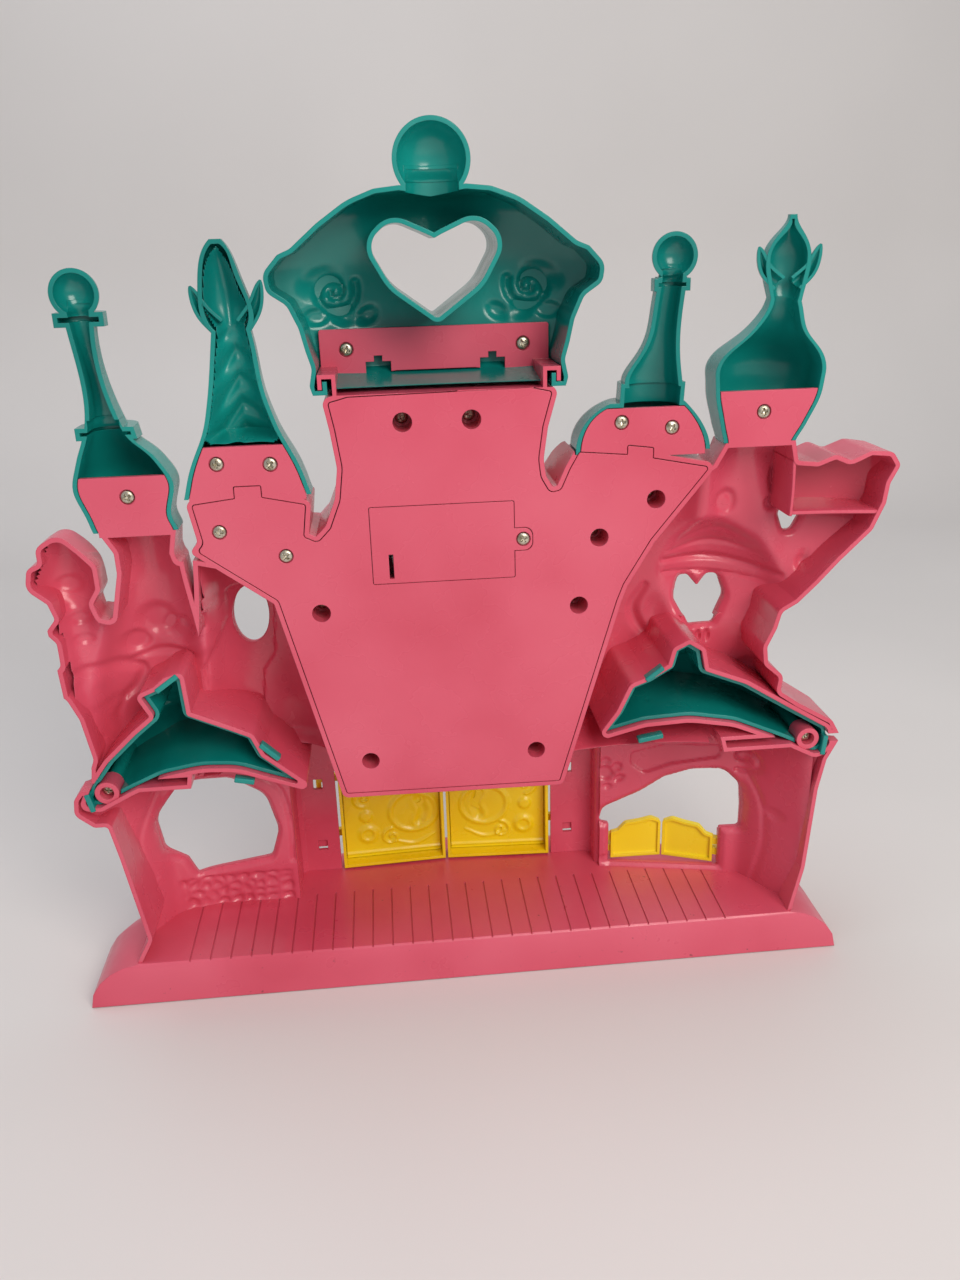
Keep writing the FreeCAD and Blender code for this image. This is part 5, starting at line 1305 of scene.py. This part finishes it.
@dataclass
class Screws:
    """Pan-head screws with cross recesses.

    A head is a grid over radius and angle: a low dome whose cross is pressed in where the point lies within
    half a slot's width of either axis.
    """

    palette: Palette
    head_d: float = 5.6
    head_h: float = 1.9
    slot_w: float = 1.0
    slot_reach: float = 1.75
    rings: int = 22
    spokes: int = 72
    spires: tuple = ((-137, 232), (-99, 244), (-77, 243), (72, 254), (94, 251), (134, 256))
    crown: tuple = ((CENTRE_X - 38.5, 285.5), (CENTRE_X + 38.5, 285.5))
    roofs: tuple = ((-166, 94), (167, 97.5))
    deep: tuple = ((-21, 258), (8, 258), (88, 220), (63, 204), (54, 173), (-61, 176), (-44, 102), (34, 102))
    flush: tuple = ((-101, 215), (-74, 203))
    battery: tuple = ((29.2, 205.2),)

    def head(self, turn: float) -> tuple[Array, Array]:
        """One head about the origin, facing the play side.

        Args:
            turn: angle of the cross in radians.

        Returns:
            Points as x, t and h, and faces.
        """
        r = np.linspace(0, 1, self.rings) ** 0.8 * self.head_d / 2
        a = np.linspace(0, 2 * math.pi, self.spokes, endpoint=False)
        rr, aa = np.meshgrid(r, a, indexing="ij")
        x, h = rr * np.cos(aa), rr * np.sin(aa)
        share = rr / (self.head_d / 2)
        t = 0.62 * self.head_h * (1 - np.sqrt(np.maximum(0, 1 - share ** 2.6)))
        u = x * math.cos(turn) + h * math.sin(turn)
        v = -x * math.sin(turn) + h * math.cos(turn)
        across, length = np.minimum(np.abs(u), np.abs(v)), np.maximum(np.abs(u), np.abs(v))
        cross = soft_step((self.slot_w / 2 - across) / 0.16) * soft_step((self.slot_reach - length) / 0.35)
        t = t + cross * (1.25 - 0.35 * length)
        points = np.stack([x, t, h], -1).reshape(-1, 3)
        side = points[-self.spokes:] * [1, 0, 1] + [0, self.head_h, 0]
        points = np.concatenate([points, side])
        index = np.arange(len(points)).reshape(self.rings + 1, self.spokes)
        nxt = np.roll(index, -1, 1)
        faces = np.stack([index[:-1], index[1:], nxt[1:], nxt[:-1]], -1).reshape(-1, 4)
        return points, faces

    def group(self, name: str, places: list[tuple[float, float, float]], node: str) -> None:
        """Heads of one node, each turned by its own angle.

        Args:
            name: the piece's name.
            places: x, t and h of each head's front.
            node: the CAD node that they replace.
        """
        points, faces, count = [], [], 0
        for i, (x, t, h) in enumerate(places):
            p, f = self.head(0.5 + 0.9 * i)
            points.append(MeshWork.drawn(p[:, 0] + x, p[:, 1] + t, p[:, 2] + h))
            faces.append(f + count)
            count += len(p)
        obj = MeshWork.make(name, np.concatenate(points), faces, 42.0)
        place_piece(obj, "castle", Slot.SCREW, self.palette.by_slot[Slot.SCREW], node)

    def build(self) -> None:
        """Make the three groups of screws."""
        top = 1.2 - self.head_h
        deep = 16.0 - self.head_h - 0.05
        roof = 6.0 - self.head_h - 0.05
        self.group("cover_screw_heads", [(x, deep, h) for x, h in self.deep]
                   + [(x, top, h) for x, h in self.flush], "cover_screws")
        self.group("spire_screw_heads", [(x, top, h) for x, h in self.spires]
                   + [(x, 30.0 + top, h) for x, h in self.crown] + [(x, roof, h) for x, h in self.roofs],
                   "teal_screws")
        self.group("battery_door_screw_head", [(x, top, h) for x, h in self.battery], "battery_door_screw")


@dataclass
class Studio:
    """Pale floor and backdrop, soft light from the upper right, and the camera of the photograph's view."""

    eye: tuple = (-0.0287, -0.4983, 0.3495)
    yaw: float = 4.8
    pitch: float = 20.7
    roll: float = -1.7

    def camera(self) -> None:
        """Camera with a 36 mm wide frame and a 39.75 mm lens."""
        data = bpy.data.cameras.new("view")
        data.sensor_fit = "HORIZONTAL"
        data.sensor_width = 36.0
        data.lens = 39.75
        obj = bpy.data.objects.new("view", data)
        yaw, pitch, roll = (math.radians(v) for v in (self.yaw, self.pitch, self.roll))
        ahead = Vector((math.sin(yaw) * math.cos(pitch), math.cos(yaw) * math.cos(pitch), -math.sin(pitch)))
        right = Vector((math.cos(yaw), -math.sin(yaw), 0))
        up = right.cross(ahead)
        side = right * math.cos(roll) + up * math.sin(roll)
        top = -right * math.sin(roll) + up * math.cos(roll)
        matrix = obj.matrix_world.copy()
        for i in range(3):
            matrix[i][0], matrix[i][1], matrix[i][2] = side[i], top[i], -ahead[i]
            matrix[i][3] = self.eye[i]
        obj.matrix_world = matrix
        bpy.context.scene.collection.objects.link(obj)
        bpy.context.scene.camera = obj

    def lamp(self, name: str, spot: tuple, aim: tuple, size: float, power: float, colour: str) -> None:
        """Square soft lamp.

        Args:
            name: the lamp's name.
            spot: where it stands, in metres.
            aim: the point that it faces.
            size: its side in metres.
            power: its watts.
            colour: hex colour of its light.
        """
        data = bpy.data.lights.new(name, "AREA")
        data.shape = "SQUARE"
        data.size = size
        data.energy = power
        data.color = linear(colour)[:3]
        obj = bpy.data.objects.new(name, data)
        obj.location = spot
        obj.rotation_euler = (Vector(aim) - Vector(spot)).to_track_quat("-Z", "Y").to_euler()
        bpy.context.scene.collection.objects.link(obj)

    def sweep(self) -> None:
        """Floor that curves up into a backdrop: flat, then a quarter circle, then upright."""
        radius, back, side = 0.35, 0.75, 2.4
        a = np.linspace(0, math.pi / 2, 24)
        y = np.concatenate([[-1.8], back + radius * np.sin(a), [back + radius]])
        z = np.concatenate([[0.0], radius * (1 - np.cos(a)), [2.2]])
        x = np.array([-side, side])
        points = np.stack([np.tile(x, len(y)), np.repeat(y, 2), np.repeat(z, 2)], -1)
        index = np.arange(len(points)).reshape(-1, 2)
        faces = np.stack([index[:-1, 0], index[:-1, 1], index[1:, 1], index[1:, 0]], -1)
        obj = MeshWork.make("backdrop", points - [0, 0, 0.0004], [faces], 60.0)
        material = bpy.data.materials.new("painted_backdrop")
        material.use_nodes = True
        tree = material.node_tree
        place = add(tree, "ShaderNodeTexCoord").outputs["Object"]
        cloud = add(tree, "ShaderNodeTexNoise", {"Vector": place}, Scale=3.0, Detail=2.0)
        colour = ramp(tree, cloud.outputs["Fac"], ((0.3, "D9D6D4"), (0.7, "DEDBD9")))
        shader = next(n for n in tree.nodes if n.type == "BSDF_PRINCIPLED")
        shader.inputs["Roughness"].default_value = 0.6
        tree.links.new(colour, shader.inputs["Base Color"])
        obj.data.materials.append(material)

    def world(self) -> None:
        """Even pale surroundings."""
        world = bpy.data.worlds.new("room")
        world.use_nodes = True
        node = next(n for n in world.node_tree.nodes if n.type == "BACKGROUND")
        node.inputs["Color"].default_value = linear("F2F4F8")
        node.inputs["Strength"].default_value = 0.48
        bpy.context.scene.world = world

    def build(self) -> None:
        """Set up stage, light, camera and colour management."""
        self.sweep()
        self.world()
        self.lamp("window_light", (0.55, -1.25, 1.0), (0.0, 0.0, 0.12), 0.8, 15.5, "FFF6EC")
        self.lamp("ceiling_light", (-0.3, 0.1, 1.5), (0.0, 0.0, 0.1), 1.0, 6.5, "F4F7FF")
        bpy.context.scene.view_settings.view_transform = "Standard"
        self.camera()


if __name__ == "__main__":
    main()
